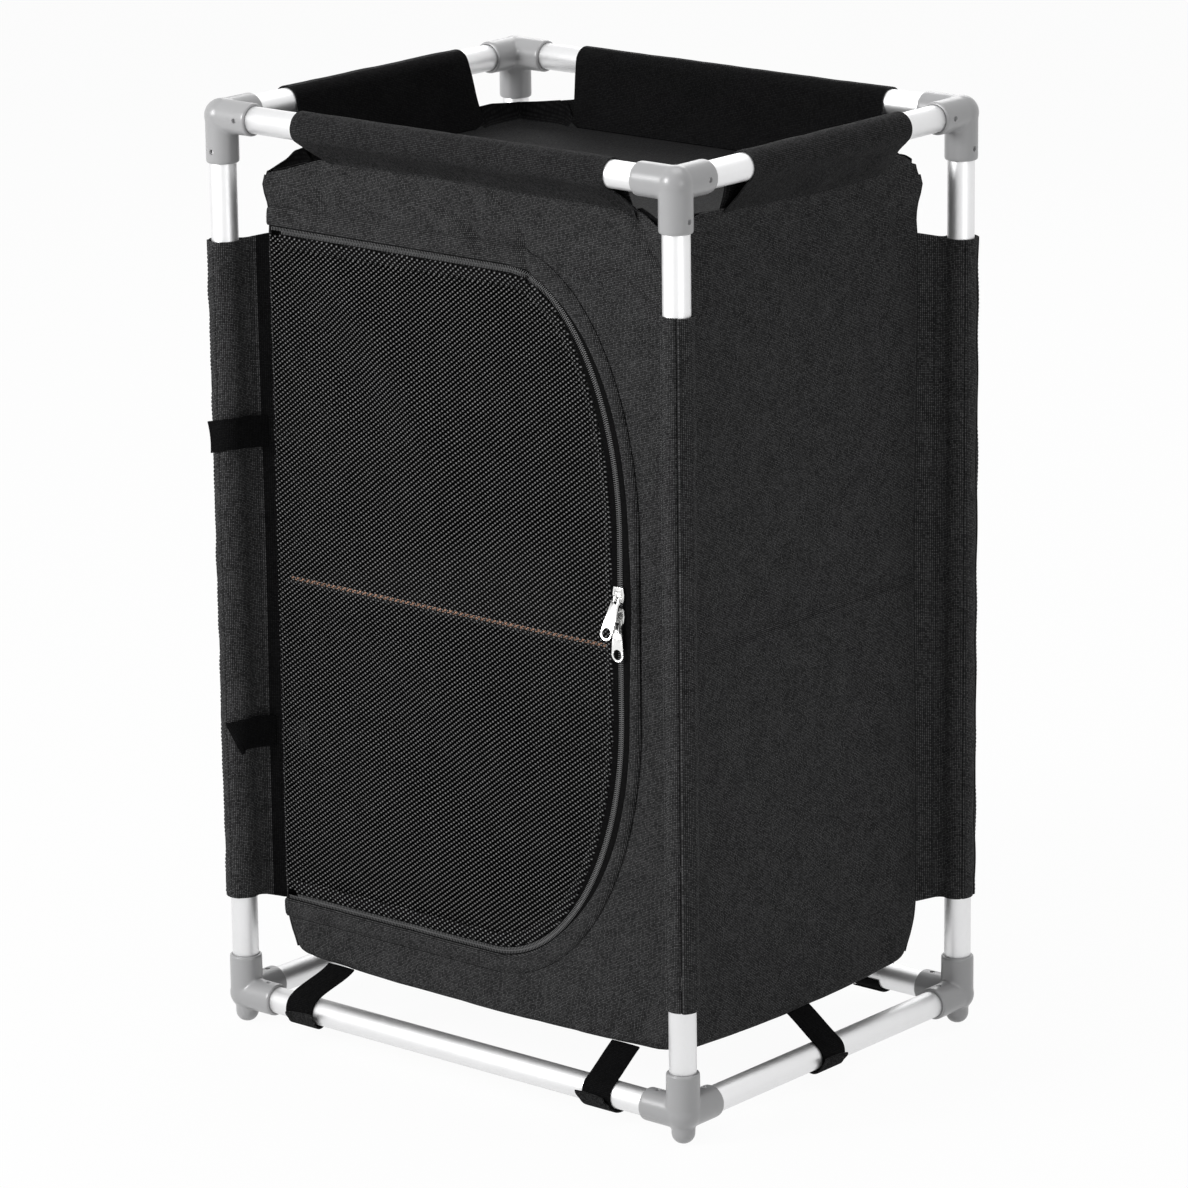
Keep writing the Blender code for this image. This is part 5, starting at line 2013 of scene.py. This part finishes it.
@dataclass
class Door:
    """The mesh door, the zip round it, and the cover's share of the zip."""

    cover: Cover
    cell: float = 0.005
    coil_pitch: float = 0.00165
    hinge_gap: float = 0.0100
    wire: float = 0.00042
    turn_points: int = 8
    mesh_thickness: float = 0.0009
    edge_thickness: float = 0.0006

    def lift(self, x: Points, z: Points, base: float) -> Points:
        """Gives the y of a point that lies on the front, at a depth."""
        return base - self.cover.swell(Side.FRONT, x, z)

    def mesh(self) -> None:
        """Makes the mesh of the door."""
        edge = zip_line(-FABRIC_EDGE, HINGE_X)
        low, high = ZIP_BOTTOM + FABRIC_EDGE, ZIP_TOP - FABRIC_EDGE
        right = ZIP_RIGHT - FABRIC_EDGE
        columns = int((right - HINGE_X) / self.cell) + 1
        rows = int((high - low) / self.cell) + 1
        x, z = np.meshgrid(np.linspace(HINGE_X, right, columns), np.linspace(low, high, rows))
        x, z, keep = snapped(edge, edge, x, z, True)
        hinge = smooth_step(x, HINGE_X, HINGE_X + 0.02)
        y = -COVER_Y - self.cover.swell(Side.FRONT, x, z) * hinge
        loose = self.cover.zip_calm(x, z) * hinge
        for fold in DOOR_FOLDS:
            y = y + fold.press(x, z) * loose
        y = y - 0.0008 * ripples(x, z, 77, 0.09) * loose
        cut = np.stack((x, z), -1)
        item = cloth_sheet("door_mesh_cloth", np.stack((x, y, z), -1), cut, keep,
                           thickness=self.mesh_thickness)
        Bench.shade(item, CLOTH_ANGLE)
        hand_over(item, Net(), "door", "door_mesh")

    def tape(self, outward: int) -> None:
        """Makes one side's tape, with its half of the coil.

        Args:
            outward: 1 for the cover's side and -1 for the door's.
        """
        label, body = zip_half(outward)
        widths = (0.0006, 0.0028, 0.0032, 0.0045, 0.0065, 0.0085, 0.0105, TAPE_WIDTH)
        begin = ZIP_START if outward > 0 else ZIP_START + self.hinge_gap
        lines = [zip_line(outward * width, begin) for width in widths]
        even = self.even(lines)
        x, z = even[..., 0], even[..., 1]
        hump = np.array((0.0, 0.0, 0.0, 0.0001, 0.0005, 0.0006, 0.0005, 0.0))[:, None]
        y = self.lift(x, z, TAPE_FRONT) - hump
        points = np.stack((x, y, z), -1)
        reached = travelled(even[3])
        cut = np.stack((np.broadcast_to(reached, x.shape),
                        np.broadcast_to(np.array(widths)[:, None], x.shape)), -1)
        if outward > 0:
            points, cut = points[::-1], cut[::-1]
        item = cloth_sheet(f"zip_tape_{label}", points, cut, thickness=TAPE_THICKNESS)
        Bench.shade(item, CLOTH_ANGLE)
        hand_over(item, TAPE, body)
        hand_over(self.coil(outward), COIL, body, f"zip_half_{label}")

    def edge(self, outward: int) -> None:
        """Makes the folded cloth edge that lies over the tape along the chain.

        Args:
            outward: 1 for the cover's side and -1 for the door's.
        """
        middle = resample(zip_line(0.0, HINGE_X + (0.0010 if outward > 0 else 0.0140)), 0.0025)
        ahead = headings(middle)
        side = np.stack((-ahead[:, 1], ahead[:, 0]), -1) * outward
        upright = smooth_step(middle[:, 0], 0.085, 0.150)
        gape = np.exp(-((middle[:, 1] - 0.420) / 0.045) ** 2)
        if outward > 0:
            start = 0.0040 + upright * (0.0052 + 0.0030 * gape)
        else:
            start = 0.0038 + upright * 0.0042
        share = np.array((0.0, 0.0, 0.06, 0.16, 0.35, 0.60, 0.82, 1.0))
        lift = np.array((0.0002, 0.0009, 0.0015, 0.0017, 0.0017, 0.0015, 0.0010,
                         -0.0006 if outward > 0 else 0.0002))
        reach = 0.0185 if outward > 0 else 0.0142
        offset = start[None, :] + (reach - start)[None, :] * share[:, None]
        flat = middle[None, :, :] + side[None, :, :] * offset[..., None]
        x, z = flat[..., 0], flat[..., 1]
        y = self.lift(x, z, TAPE_FRONT) - lift[:, None]
        points = np.stack((x, y, z), -1)
        if outward > 0:
            points, flat = points[::-1], flat[::-1]
        label, body = zip_half(outward)
        item = cloth_sheet(f"zip_edge_{label}", points, flat, thickness=self.edge_thickness)
        Bench.shade(item, CLOTH_ANGLE)
        hand_over(item, CHARCOAL if outward > 0 else Net(), body)
        if outward < 0:
            return
        rows = []
        for step in (0.0018, 0.0062):
            at = start + step
            line = middle + side * at[:, None]
            depth = self.lift(line[:, 0], line[:, 1], TAPE_FRONT) - 0.0014
            rows.append((np.stack((line[:, 0], depth, line[:, 1]), -1), (0.0, -1.0, 0.0)))
        hand_over(Stitching(pitch=0.0030, length=0.0023).sew("zip_edge_stitching", rows),
                  THREAD, "cupboard")

    @staticmethod
    def even(lines: list[Points]) -> Points:
        """Spaces matching lines by even shares of the fourth line's length.

        Args:
            lines: The lines, of which the fourth is the measure.

        Returns:
            The lines in one array, with as many points each.
        """
        middle = lines[3]
        base = travelled(middle) / np.linalg.norm(np.diff(middle, axis=0), axis=1).sum()
        share = np.interp(np.linspace(0.0, 1.0, 300), base, np.arange(len(middle)))
        return np.stack([np.stack([np.interp(share, np.arange(len(line)), line[:, axis])
                                   for axis in (0, 1)], -1) for line in lines])

    def coil(self, outward: int) -> bpy.types.Object:
        """Makes one half of the chain: a nylon coil sewn along the tape's edge.

        Args:
            outward: 1 for the cover's side and -1 for the door's.

        Returns:
            The coil.
        """
        label, _ = zip_half(outward)
        middle = zip_line(0.0, ZIP_START + 0.0015 + (self.hinge_gap if outward < 0 else 0.0))
        total = float(np.linalg.norm(np.diff(middle, axis=0), axis=1).sum())
        turns = int(total / self.coil_pitch)
        count = turns * self.turn_points + 1
        line = resample(middle, total / (count - 1))
        ahead = headings(line)
        side = np.stack((-ahead[:, 1], ahead[:, 0]), -1) * outward
        phase = (np.arange(len(line)) / self.turn_points
                 + (0.5 if outward < 0 else 0.0)) * math.tau
        deep = (CHAIN_FRONT - TAPE_FRONT) / 2
        across = 0.00125 - 0.00155 * np.cos(phase)
        height = TAPE_FRONT + deep + deep * 0.72 * np.sin(phase)
        flat = line + side * across[:, None]
        x, z = flat[:, 0], flat[:, 1]
        y = self.lift(x, z, 0.0) + height
        return piping(f"zip_coil_{label}", np.stack((x, y, z), -1), self.wire, 4)

    def build(self) -> None:
        """Makes the door and the whole zip."""
        self.mesh()
        for outward in (1, -1):
            self.tape(outward)
            self.edge(outward)


@dataclass
class Sliders:
    """Two zip sliders with their bails, and the pulls that hang from them."""

    width: float = 0.0116
    length: float = 0.0120
    thickness: float = 0.0020
    end_width: float = 0.0094
    bail_width: float = 0.0016
    bail_wall: float = 0.0009
    bail_length: float = 0.0070
    bail_clear: float = 0.0024
    pull_thickness: float = 0.0012
    pull_length: float = 0.0362
    head: float = 0.0070
    tip: float = 0.0116
    bar: float = 0.0014
    window: tuple[float, float] = (0.0036, 0.0050)
    eye: float = 0.0084
    recess: tuple[float, float] = (0.0017, 0.0008)
    mouth: tuple[float, float, float] = (0.0034, 0.0012, 0.0007)
    back: float = -0.1583
    heights: tuple[tuple[str, float], ...] = (("upper", 0.4283), ("lower", 0.4115))
    axis_y: float = -0.1615
    axis_drop: float = 0.0016
    lean: float = math.radians(10.0)
    lift: float = math.radians(14.38)

    def slider(self) -> bpy.types.Object:
        """Models a slider lying flat: length along Y, its face up.

        Returns:
            The slider with its bail.
        """
        half = self.length / 2
        item = Bench.block("slider_model", (-self.end_width / 2, -half, 0.0),
                           (self.end_width / 2, half, self.thickness))
        Bench.edit(item, "EDGE", lambda middle, along: abs(along.y) > 0.9)
        bpy.ops.mesh.subdivide(number_cuts=3)
        Bench.done()
        waist = self.width / self.end_width
        Bench.widen(item, lambda place, normal: abs(place.y) < half * 0.2, waist)
        Bench.widen(item, lambda place, normal: half * 0.2 < abs(place.y) < half * 0.8,
                    1.0 + 0.6 * (waist - 1.0))
        Bench.edit(item, "FACE", lambda middle, normal: normal.z > 0.9)
        bpy.ops.mesh.inset(thickness=self.recess[0])
        bpy.ops.mesh.extrude_region_move(
            TRANSFORM_OT_translate={"value": (0.0, 0.0, -self.recess[1])})
        Bench.done()
        Bench.apply(item, "BEVEL", width=0.00028, segments=3, limit_method="ANGLE")
        wide, deep, high = self.mouth
        for number, place in enumerate((-1, 1)):
            mouth = Bench.block(f"mouth_{number}", (-wide, place * half - deep, -0.001),
                                (wide, place * half + deep, high))
            Bench.combine(item, mouth, "DIFFERENCE")
        return Bench.combine(item, self.bail(), "UNION")

    def bail(self) -> bpy.types.Object:
        """Models the bail: a flat bar bent over the slider's face.

        Returns:
            The bail.
        """
        half = self.bail_length / 2
        top = self.thickness + self.bail_clear + self.bail_wall
        item = Bench.block("bail", (-self.bail_width / 2, -half, 0.0006),
                           (self.bail_width / 2, half, top))
        Bench.bevel(item, lambda middle, along: abs(along.x) > 0.9 and middle.z > top - 1e-4,
                    0.0018, 5)
        under = Bench.block("under", (-0.002, -half + self.bail_wall, -0.001),
                            (0.002, half - self.bail_wall, top - self.bail_wall))
        Bench.bevel(under, lambda middle, along: abs(along.x) > 0.9
                    and middle.z > top - self.bail_wall - 1e-4, 0.0010, 4)
        Bench.combine(item, under, "DIFFERENCE")
        return Bench.apply(item, "BEVEL", width=0.00015, segments=2, limit_method="ANGLE")

    def pull(self) -> bpy.types.Object:
        """Models a pull lying flat: its bar on the X axis, hanging towards -Y.

        Returns:
            The pull.
        """
        half = self.pull_thickness / 2
        tip = self.tip / 2
        top = self.bar / 2
        end = tip + top - self.pull_length
        item = Bench.block("pull_model", (-self.head / 2, end, -half),
                           (self.head / 2, top, half))
        Bench.widen(item, lambda place, normal: place.y < end + 1e-4, self.tip / self.head)
        disc = Bench.cylinder("tip", tip, -half, half, 48)
        Bench.combine(item, Bench.place(disc, Matrix.Translation((0.0, end, 0.0))), "UNION")
        wide, tall = self.window
        hole = Bench.block("window", (-wide / 2, -top - tall, -0.002), (wide / 2, -top, 0.002))
        Bench.bevel(hole, lambda middle, along: abs(along.z) > 0.9, 0.0006, 3)
        Bench.combine(item, hole, "DIFFERENCE")
        eye = Bench.cylinder("eye", self.eye / 2, -0.002, 0.002, 40)
        Bench.combine(item, Bench.place(eye, Matrix.Translation((0.0, end, 0.0))), "DIFFERENCE")
        return Bench.apply(item, "BEVEL", width=0.00022, segments=2, limit_method="ANGLE")

    def build(self) -> None:
        """Makes both sliders and both pulls."""
        upright = Matrix(((1, 0, 0, 0), (0, 0, -1, 0), (0, 1, 0, 0), (0, 0, 0, 1)))
        slider = Bench.shade(self.slider())
        pull = Bench.shade(self.pull())
        for level, height in self.heights:
            place = Matrix.Translation((ZIP_RIGHT, self.back, height)) @ upright
            item = Bench.copied(slider, f"zip_slider_{level}_body", place)
            hand_over(item, NICKEL, f"{level}_slider", f"zip_slider_{level}")
            lean = self.lean if level == "upper" else 0.0
            lift = self.lift if level == "upper" else 0.0
            swing = Matrix.Rotation(lean, 4, "Y") @ Matrix.Rotation(-lift, 4, "X")
            axis = Matrix.Translation((ZIP_RIGHT, self.axis_y, height - self.axis_drop))
            item = Bench.copied(pull, f"zip_pull_{level}_drop", axis @ swing @ upright)
            hand_over(item, NICKEL, f"{level}_pull", f"zip_pull_{level}")
        for model in (slider, pull):
            bpy.data.objects.remove(model, do_unlink=True)


# ---------------------------------------------------------------- straps and ties


@dataclass(frozen=True)
class StrapCut:
    """One bottom strap: its name, side and middle at the cover and at the rail."""

    name: str
    side: Side
    at_cover: float
    at_rail: float
    flap_turn: float


@dataclass
class Straps:
    """Six straps round the lower rails, each closed by a loop-pile flap."""

    width: float = 0.028
    thickness: float = 0.0015
    flap_thickness: float = 0.0013
    gap: float = 0.0003
    flap_gap: float = 0.0009
    wrap: float = math.radians(232.0)
    flap_arc: tuple[float, float] = (math.radians(-118.0), math.radians(4.0))
    cuts: tuple[StrapCut, ...] = (
        StrapCut("strap_front_left", Side.FRONT, -0.152, -0.164, 0.16),
        StrapCut("strap_front_right", Side.FRONT, 0.153, 0.155, -0.12),
        StrapCut("strap_back_left", Side.BACK, 0.152, 0.155, 0.10),
        StrapCut("strap_back_right", Side.BACK, -0.143, -0.147, -0.12),
        StrapCut("strap_left", Side.LEFT, 0.0, 0.004, 0.10),
        StrapCut("strap_right", Side.RIGHT, 0.0, -0.003, -0.10),
    )

    def band(self, cut: StrapCut) -> None:
        """Makes the strap from the cover over the rail and under it.

        Args:
            cut: The strap's name and place.
        """
        radius = TUBE_RADIUS + self.gap + self.thickness / 2
        start = (-(cut.side.rail - cut.side.face) - 0.004, COVER_BOTTOM - 0.0035 - LOWER)
        first = tangent_angle(start, radius, -1)
        arc = np.linspace(first, first - self.wrap, 40)
        circle = on_circle(arc, radius)
        section = np.concatenate((np.linspace(start, circle[0], 10)[:-1], circle))
        reached = travelled(section)
        share = smooth_step(reached, 0.0, 0.040)
        middle = cut.at_cover + (cut.at_rail - cut.at_cover) * share
        across = np.linspace(-0.5, 0.5, 9)
        along = middle[:, None] + across[None, :] * self.width
        crown = (1.0 - (2 * across) ** 2)[None, :] * 0.0004
        ahead = headings(section)
        norm = np.stack((ahead[:, 1], -ahead[:, 0]), -1)
        norm *= np.sign(norm[20] @ section[20])
        out = cut.side.rail + section[:, 0][:, None] + norm[:, 0][:, None] * crown
        height = LOWER + section[:, 1][:, None] + norm[:, 1][:, None] * crown
        places = np.stack((along, np.broadcast_to(reached[:, None], along.shape)), -1)
        item = cloth_sheet(f"{cut.name}_band", cut.side.place(along, out, height), places,
                           thickness=self.thickness, offset=0.0)
        Bench.shade(item, CLOTH_ANGLE)
        hand_over(item, WEBBING, "cupboard", cut.name)
        self.rail(cut)

    @staticmethod
    def rail(cut: StrapCut) -> str:
        """Names the tube that a strap goes round."""
        return f"lower_rail_{cut.side.label}_tube"

    def flap(self, cut: StrapCut) -> None:
        """Makes the flap that comes up from beneath, its corners standing off.

        Args:
            cut: The strap's name and place.
        """
        radius = TUBE_RADIUS + self.gap + self.thickness + self.flap_gap
        arc = np.linspace(*self.flap_arc, 22)
        share = np.linspace(0.0, 1.0, len(arc))
        across = np.linspace(-0.5, 0.5, 9)
        turned = cut.flap_turn * (share - 0.35) * 0.040
        along = (cut.at_rail + turned)[:, None] + across[None, :] * (self.width + 0.001)
        peel = (smooth_step(share, 0.72, 1.0)[:, None] * (2 * np.abs(across)[None, :]) ** 3 * 0.0030
                + smooth_step(share, 0.85, 1.0)[:, None] * 0.0007)
        slant = across[None, :] * cut.flap_turn * 0.9 * share[:, None]
        angle = arc[:, None] + slant
        out = cut.side.rail + np.cos(angle) * (radius + peel)
        height = LOWER + np.sin(angle) * (radius + peel)
        length = float(radius * (arc[-1] - arc[0]))
        places = np.stack((along, np.broadcast_to((share * length)[:, None], along.shape)), -1)
        item = cloth_sheet(f"{cut.name}_flap", cut.side.place(along, out, height), places,
                           thickness=self.flap_thickness, offset=0.0)
        Bench.shade(item, CLOTH_ANGLE)
        hand_over(item, LOOP_PILE, "cupboard")

    def build(self) -> None:
        """Makes the six straps."""
        for cut in self.cuts:
            self.band(cut)
            self.flap(cut)


@dataclass
class Ties:
    """The two door ties and their inner halves behind the mesh."""

    height: float = 0.026
    thickness: float = 0.0012
    levels: tuple[tuple[str, float, float, float], ...] = (("upper", 0.5050, 0.25, 0.0100),
                                                           ("lower", 0.2515, 1.30, 0.0010))
    wrap: float = math.radians(68.0)
    sleeve: float = 0.0142
    gap: float = 0.0003
    start: tuple[float, float] = (0.0298, -0.0020)
    inner_size: tuple[float, float] = (0.024, 0.022)
    inner_root: tuple[float, float] = (-0.2054, -0.1541)
    inner_levels: tuple[tuple[str, float, float], ...] = (
        ("upper", 0.5050, math.radians(60.0)), ("lower", 0.2515, math.radians(6.0)))

    def outer(self, level: str, middle: float, slant: float, tip: float) -> None:
        """Makes a tie that lies round the front left post's sleeve.

        Args:
            level: upper or lower.
            middle: The height of its middle.
            slant: How far its free end is cut aslant, as a share of its height.
            tip: The length of the end that stands off the sleeve.
        """
        radius = self.sleeve + self.gap + self.thickness / 2
        tail = np.array((1.0, 1.0)) / math.sqrt(2)
        across = np.array((-1.0, 1.0)) / math.sqrt(2)
        first = tangent_angle(self.start, radius, -1)
        arc = np.linspace(first, first - self.wrap, 22)
        circle = on_circle(arc, radius)
        onward = np.array((math.sin(arc[-1]), -math.cos(arc[-1])))
        off = circle[-1] + np.linspace(0.0, tip, 8)[1:, None] * onward
        section = np.concatenate((np.linspace(self.start, circle[0], 10)[:-1], circle, off))
        reached = travelled(section)
        share = reached / reached[-1]
        row = np.linspace(-0.5, 0.5, 9)
        bow = 0.0035 * np.sin(share * math.pi * 0.9) - 0.004 * share
        level_z = middle + row[None, :] * self.height + bow[:, None]
        keep_back = slant * (0.5 - row)[None, :] * 0.010 * smooth_step(share, 0.6, 1.0)[:, None]
        curl = 0.0010 * smooth_step(share, 0.7, 1.0)[:, None] * (np.abs(row) * 2)[None, :] ** 2
        pull_back = np.interp(np.clip(reached[:, None] - keep_back, 0, None), reached,
                              np.arange(len(reached)))
        sec_x = np.interp(pull_back, np.arange(len(reached)), section[:, 0])
        sec_y = np.interp(pull_back, np.arange(len(reached)), section[:, 1])
        length = np.maximum(np.hypot(sec_x, sec_y), 1e-6)
        sec_x = sec_x * (1 + curl / length)
        sec_y = sec_y * (1 + curl / length)
        x = -HALF_WIDTH + tail[0] * sec_x + across[0] * sec_y
        y = -HALF_DEPTH + tail[1] * sec_x + across[1] * sec_y
        places = np.stack((np.broadcast_to(reached[:, None], x.shape), level_z), -1)
        item = cloth_sheet(f"door_tie_{level}_band", np.stack((x, y, level_z), -1), places,
                           thickness=self.thickness, offset=0.0)
        Bench.shade(item, CLOTH_ANGLE)
        hand_over(item, WEBBING, f"{level}_tie", f"door_tie_{level}")

    def inner(self, level: str, middle: float, turn: float) -> None:
        """Makes the half that hangs behind the door.

        Args:
            level: The tie's level, as in its name.
            middle: The height of its middle.
            turn: How far it is turned from the door.
        """
        long, tall = self.inner_size
        share = np.linspace(0.0, 1.0, 12)
        row = np.linspace(-0.5, 0.5, 7)
        steps = np.arange(12) * (long / 11)
        x = self.inner_root[0] + steps * math.cos(turn)
        y = self.inner_root[1] + steps * math.sin(turn)
        z = middle + row[None, :] * tall - 0.002 * share[:, None]
        points = np.stack(np.broadcast_arrays(x[:, None], y[:, None], z), -1)
        places = np.stack(np.broadcast_arrays(share[:, None] * long, z), -1)
        item = cloth_sheet(f"inner_tie_{level}_band", points, places,
                           thickness=self.thickness, offset=0.0)
        hand_over(item, LOOP_PILE, f"{level}_inner_tie", f"inner_tie_{level}")

    def build(self) -> None:
        """Makes both ties and their inner halves."""
        for level, middle, slant, tip in self.levels:
            self.outer(level, middle, slant, tip)
        for level, middle, turn in self.inner_levels:
            self.inner(level, middle, turn)


# ---------------------------------------------------------------- the studio


def seen_rays(tree: bpy.types.NodeTree) -> bpy.types.NodeSocket:
    """Gives 1 for rays from the camera, also by way of metal or glass, and 0 for light.

    Args:
        tree: The tree that the nodes are added to.

    Returns:
        The socket that gives the value.
    """
    path = wire(tree, "ShaderNodeLightPath")
    return sum_up(tree, "MAXIMUM", path.outputs["Is Camera Ray"],
                  sum_up(tree, "MAXIMUM", path.outputs["Is Glossy Ray"],
                         path.outputs["Is Transmission Ray"]))


@dataclass(frozen=True)
class Lamp:
    """A square soft light that looks at the cupboard's middle."""

    name: str
    place: tuple[float, float, float]
    size: float
    power: float


@dataclass
class Studio:
    """The camera, the pale floor, the white room and the soft lights."""

    azimuth: float = math.radians(40.104)
    elevation: float = math.radians(15.287)
    roll: float = math.radians(-0.701)
    distance: float = 4.7305
    shift: tuple[float, float] = (-0.00191, -0.02599)
    target: tuple[float, float, float] = (0.0, 0.0, 0.395)
    focal: float = 5811.0
    sensor: float = 36.0
    floor_white: float = 0.955
    room_light: tuple[float, float] = (0.70, 0.30)
    lamps: tuple[Lamp, ...] = (
        Lamp("key", (-1.3, -3.0, 1.9), 1.3, 84.0),
        Lamp("fill", (3.0, -0.9, 1.2), 1.4, 12.0),
        Lamp("top", (0.2, 0.3, 3.2), 2.0, 26.0),
        Lamp("rear", (-1.6, 2.6, 2.0), 1.6, 16.0),
    )

    def camera(self) -> None:
        """Sets up the camera that took the photograph."""
        back = Vector((math.sin(self.azimuth) * math.cos(self.elevation),
                       -math.cos(self.azimuth) * math.cos(self.elevation),
                       math.sin(self.elevation)))
        level = Vector((math.cos(self.azimuth), math.sin(self.azimuth), 0.0))
        rise = back.cross(level)
        right = level * math.cos(self.roll) + rise * math.sin(self.roll)
        up = rise * math.cos(self.roll) - level * math.sin(self.roll)
        place = (Vector(self.target) + back * self.distance + level * self.shift[0]
                 + rise * self.shift[1])
        data = bpy.data.cameras.new("camera")
        data.sensor_fit = "HORIZONTAL"
        data.sensor_width = self.sensor
        data.lens = self.focal * self.sensor / IMAGE_SIZE
        data.clip_start = 0.05
        data.clip_end = 60.0
        item = bpy.data.objects.new("camera", data)
        bpy.context.scene.collection.objects.link(item)
        item.matrix_world = Matrix.Translation(place) @ Matrix(
            (right, up, back)).transposed().to_4x4()
        bpy.context.scene.camera = item

    def floor(self) -> None:
        """Lays the pale floor, which the camera and metal see as white."""
        Bench.clear()
        bpy.ops.mesh.primitive_plane_add(size=24.0)
        item = Bench.added("floor")
        material, tree, shader = start_material("pale_floor")
        place = wire(tree, "ShaderNodeTexCoord")
        noise = wire(tree, "ShaderNodeTexNoise", None,
                     {"Vector": place.outputs["Object"], "Scale": 3.0})
        tree.links.new(tone(tree, noise.outputs["Fac"], (0.87, 0.87, 0.87), (0.90, 0.90, 0.90)),
                       shader.inputs["Base Color"])
        shader.inputs["Roughness"].default_value = 0.9
        shader.inputs["Specular IOR Level"].default_value = 0.1
        seen = seen_rays(tree)
        white = wire(tree, "ShaderNodeEmission", None, {"Color": (1.0, 1.0, 1.0, 1.0),
                                                        "Strength": 1.0})
        mix = wire(tree, "ShaderNodeMixShader", None,
                   {0: sum_up(tree, "MULTIPLY", seen, self.floor_white), 1: shader.outputs[0],
                    2: white.outputs[0]})
        tree.links.new(mix.outputs[0], tree.nodes["Material Output"].inputs[0])
        item.data.materials.append(material)

    def room(self) -> None:
        """Makes the world: white where it is seen, and dimmer as light."""
        world = bpy.data.worlds.new("white_room")
        world.use_nodes = True
        bpy.context.scene.world = world
        tree = world.node_tree
        seen = seen_rays(tree)
        strength = sum_up(tree, "MULTIPLY_ADD", seen, *self.room_light)
        ground = tree.nodes["Background"]
        ground.inputs["Color"].default_value = (1.0, 1.0, 1.0, 1.0)
        tree.links.new(strength, ground.inputs["Strength"])

    def build(self) -> None:
        """Sets up the whole studio."""
        self.camera()
        self.floor()
        self.room()
        for lamp in self.lamps:
            data = bpy.data.lights.new(lamp.name, "AREA")
            data.shape = "SQUARE"
            data.size = lamp.size
            data.energy = lamp.power
            item = bpy.data.objects.new(lamp.name, data)
            bpy.context.scene.collection.objects.link(item)
            aim = Vector(lamp.place) - Vector(self.target)
            item.matrix_world = Matrix.Translation(lamp.place) @ aim.to_track_quat(
                "Z", "Y").to_matrix().to_4x4()
        bpy.context.scene.view_settings.view_transform = "Standard"


def main() -> None:
    """Builds the cupboard's looks, piece by piece."""
    logging.basicConfig(level=logging.INFO, format="%(name)s: %(message)s")
    Studio().build()
    cover = Cover()
    cover.build()
    for part in (TubeFrame(), Corners(), Boards(), Skirts(cover), PostSleeves(cover), Door(cover),
                 Sliders(), Straps(), Ties()):
        part.build()
        LOG.info("%s is done", type(part).__name__)


if __name__ == "__main__":
    main()
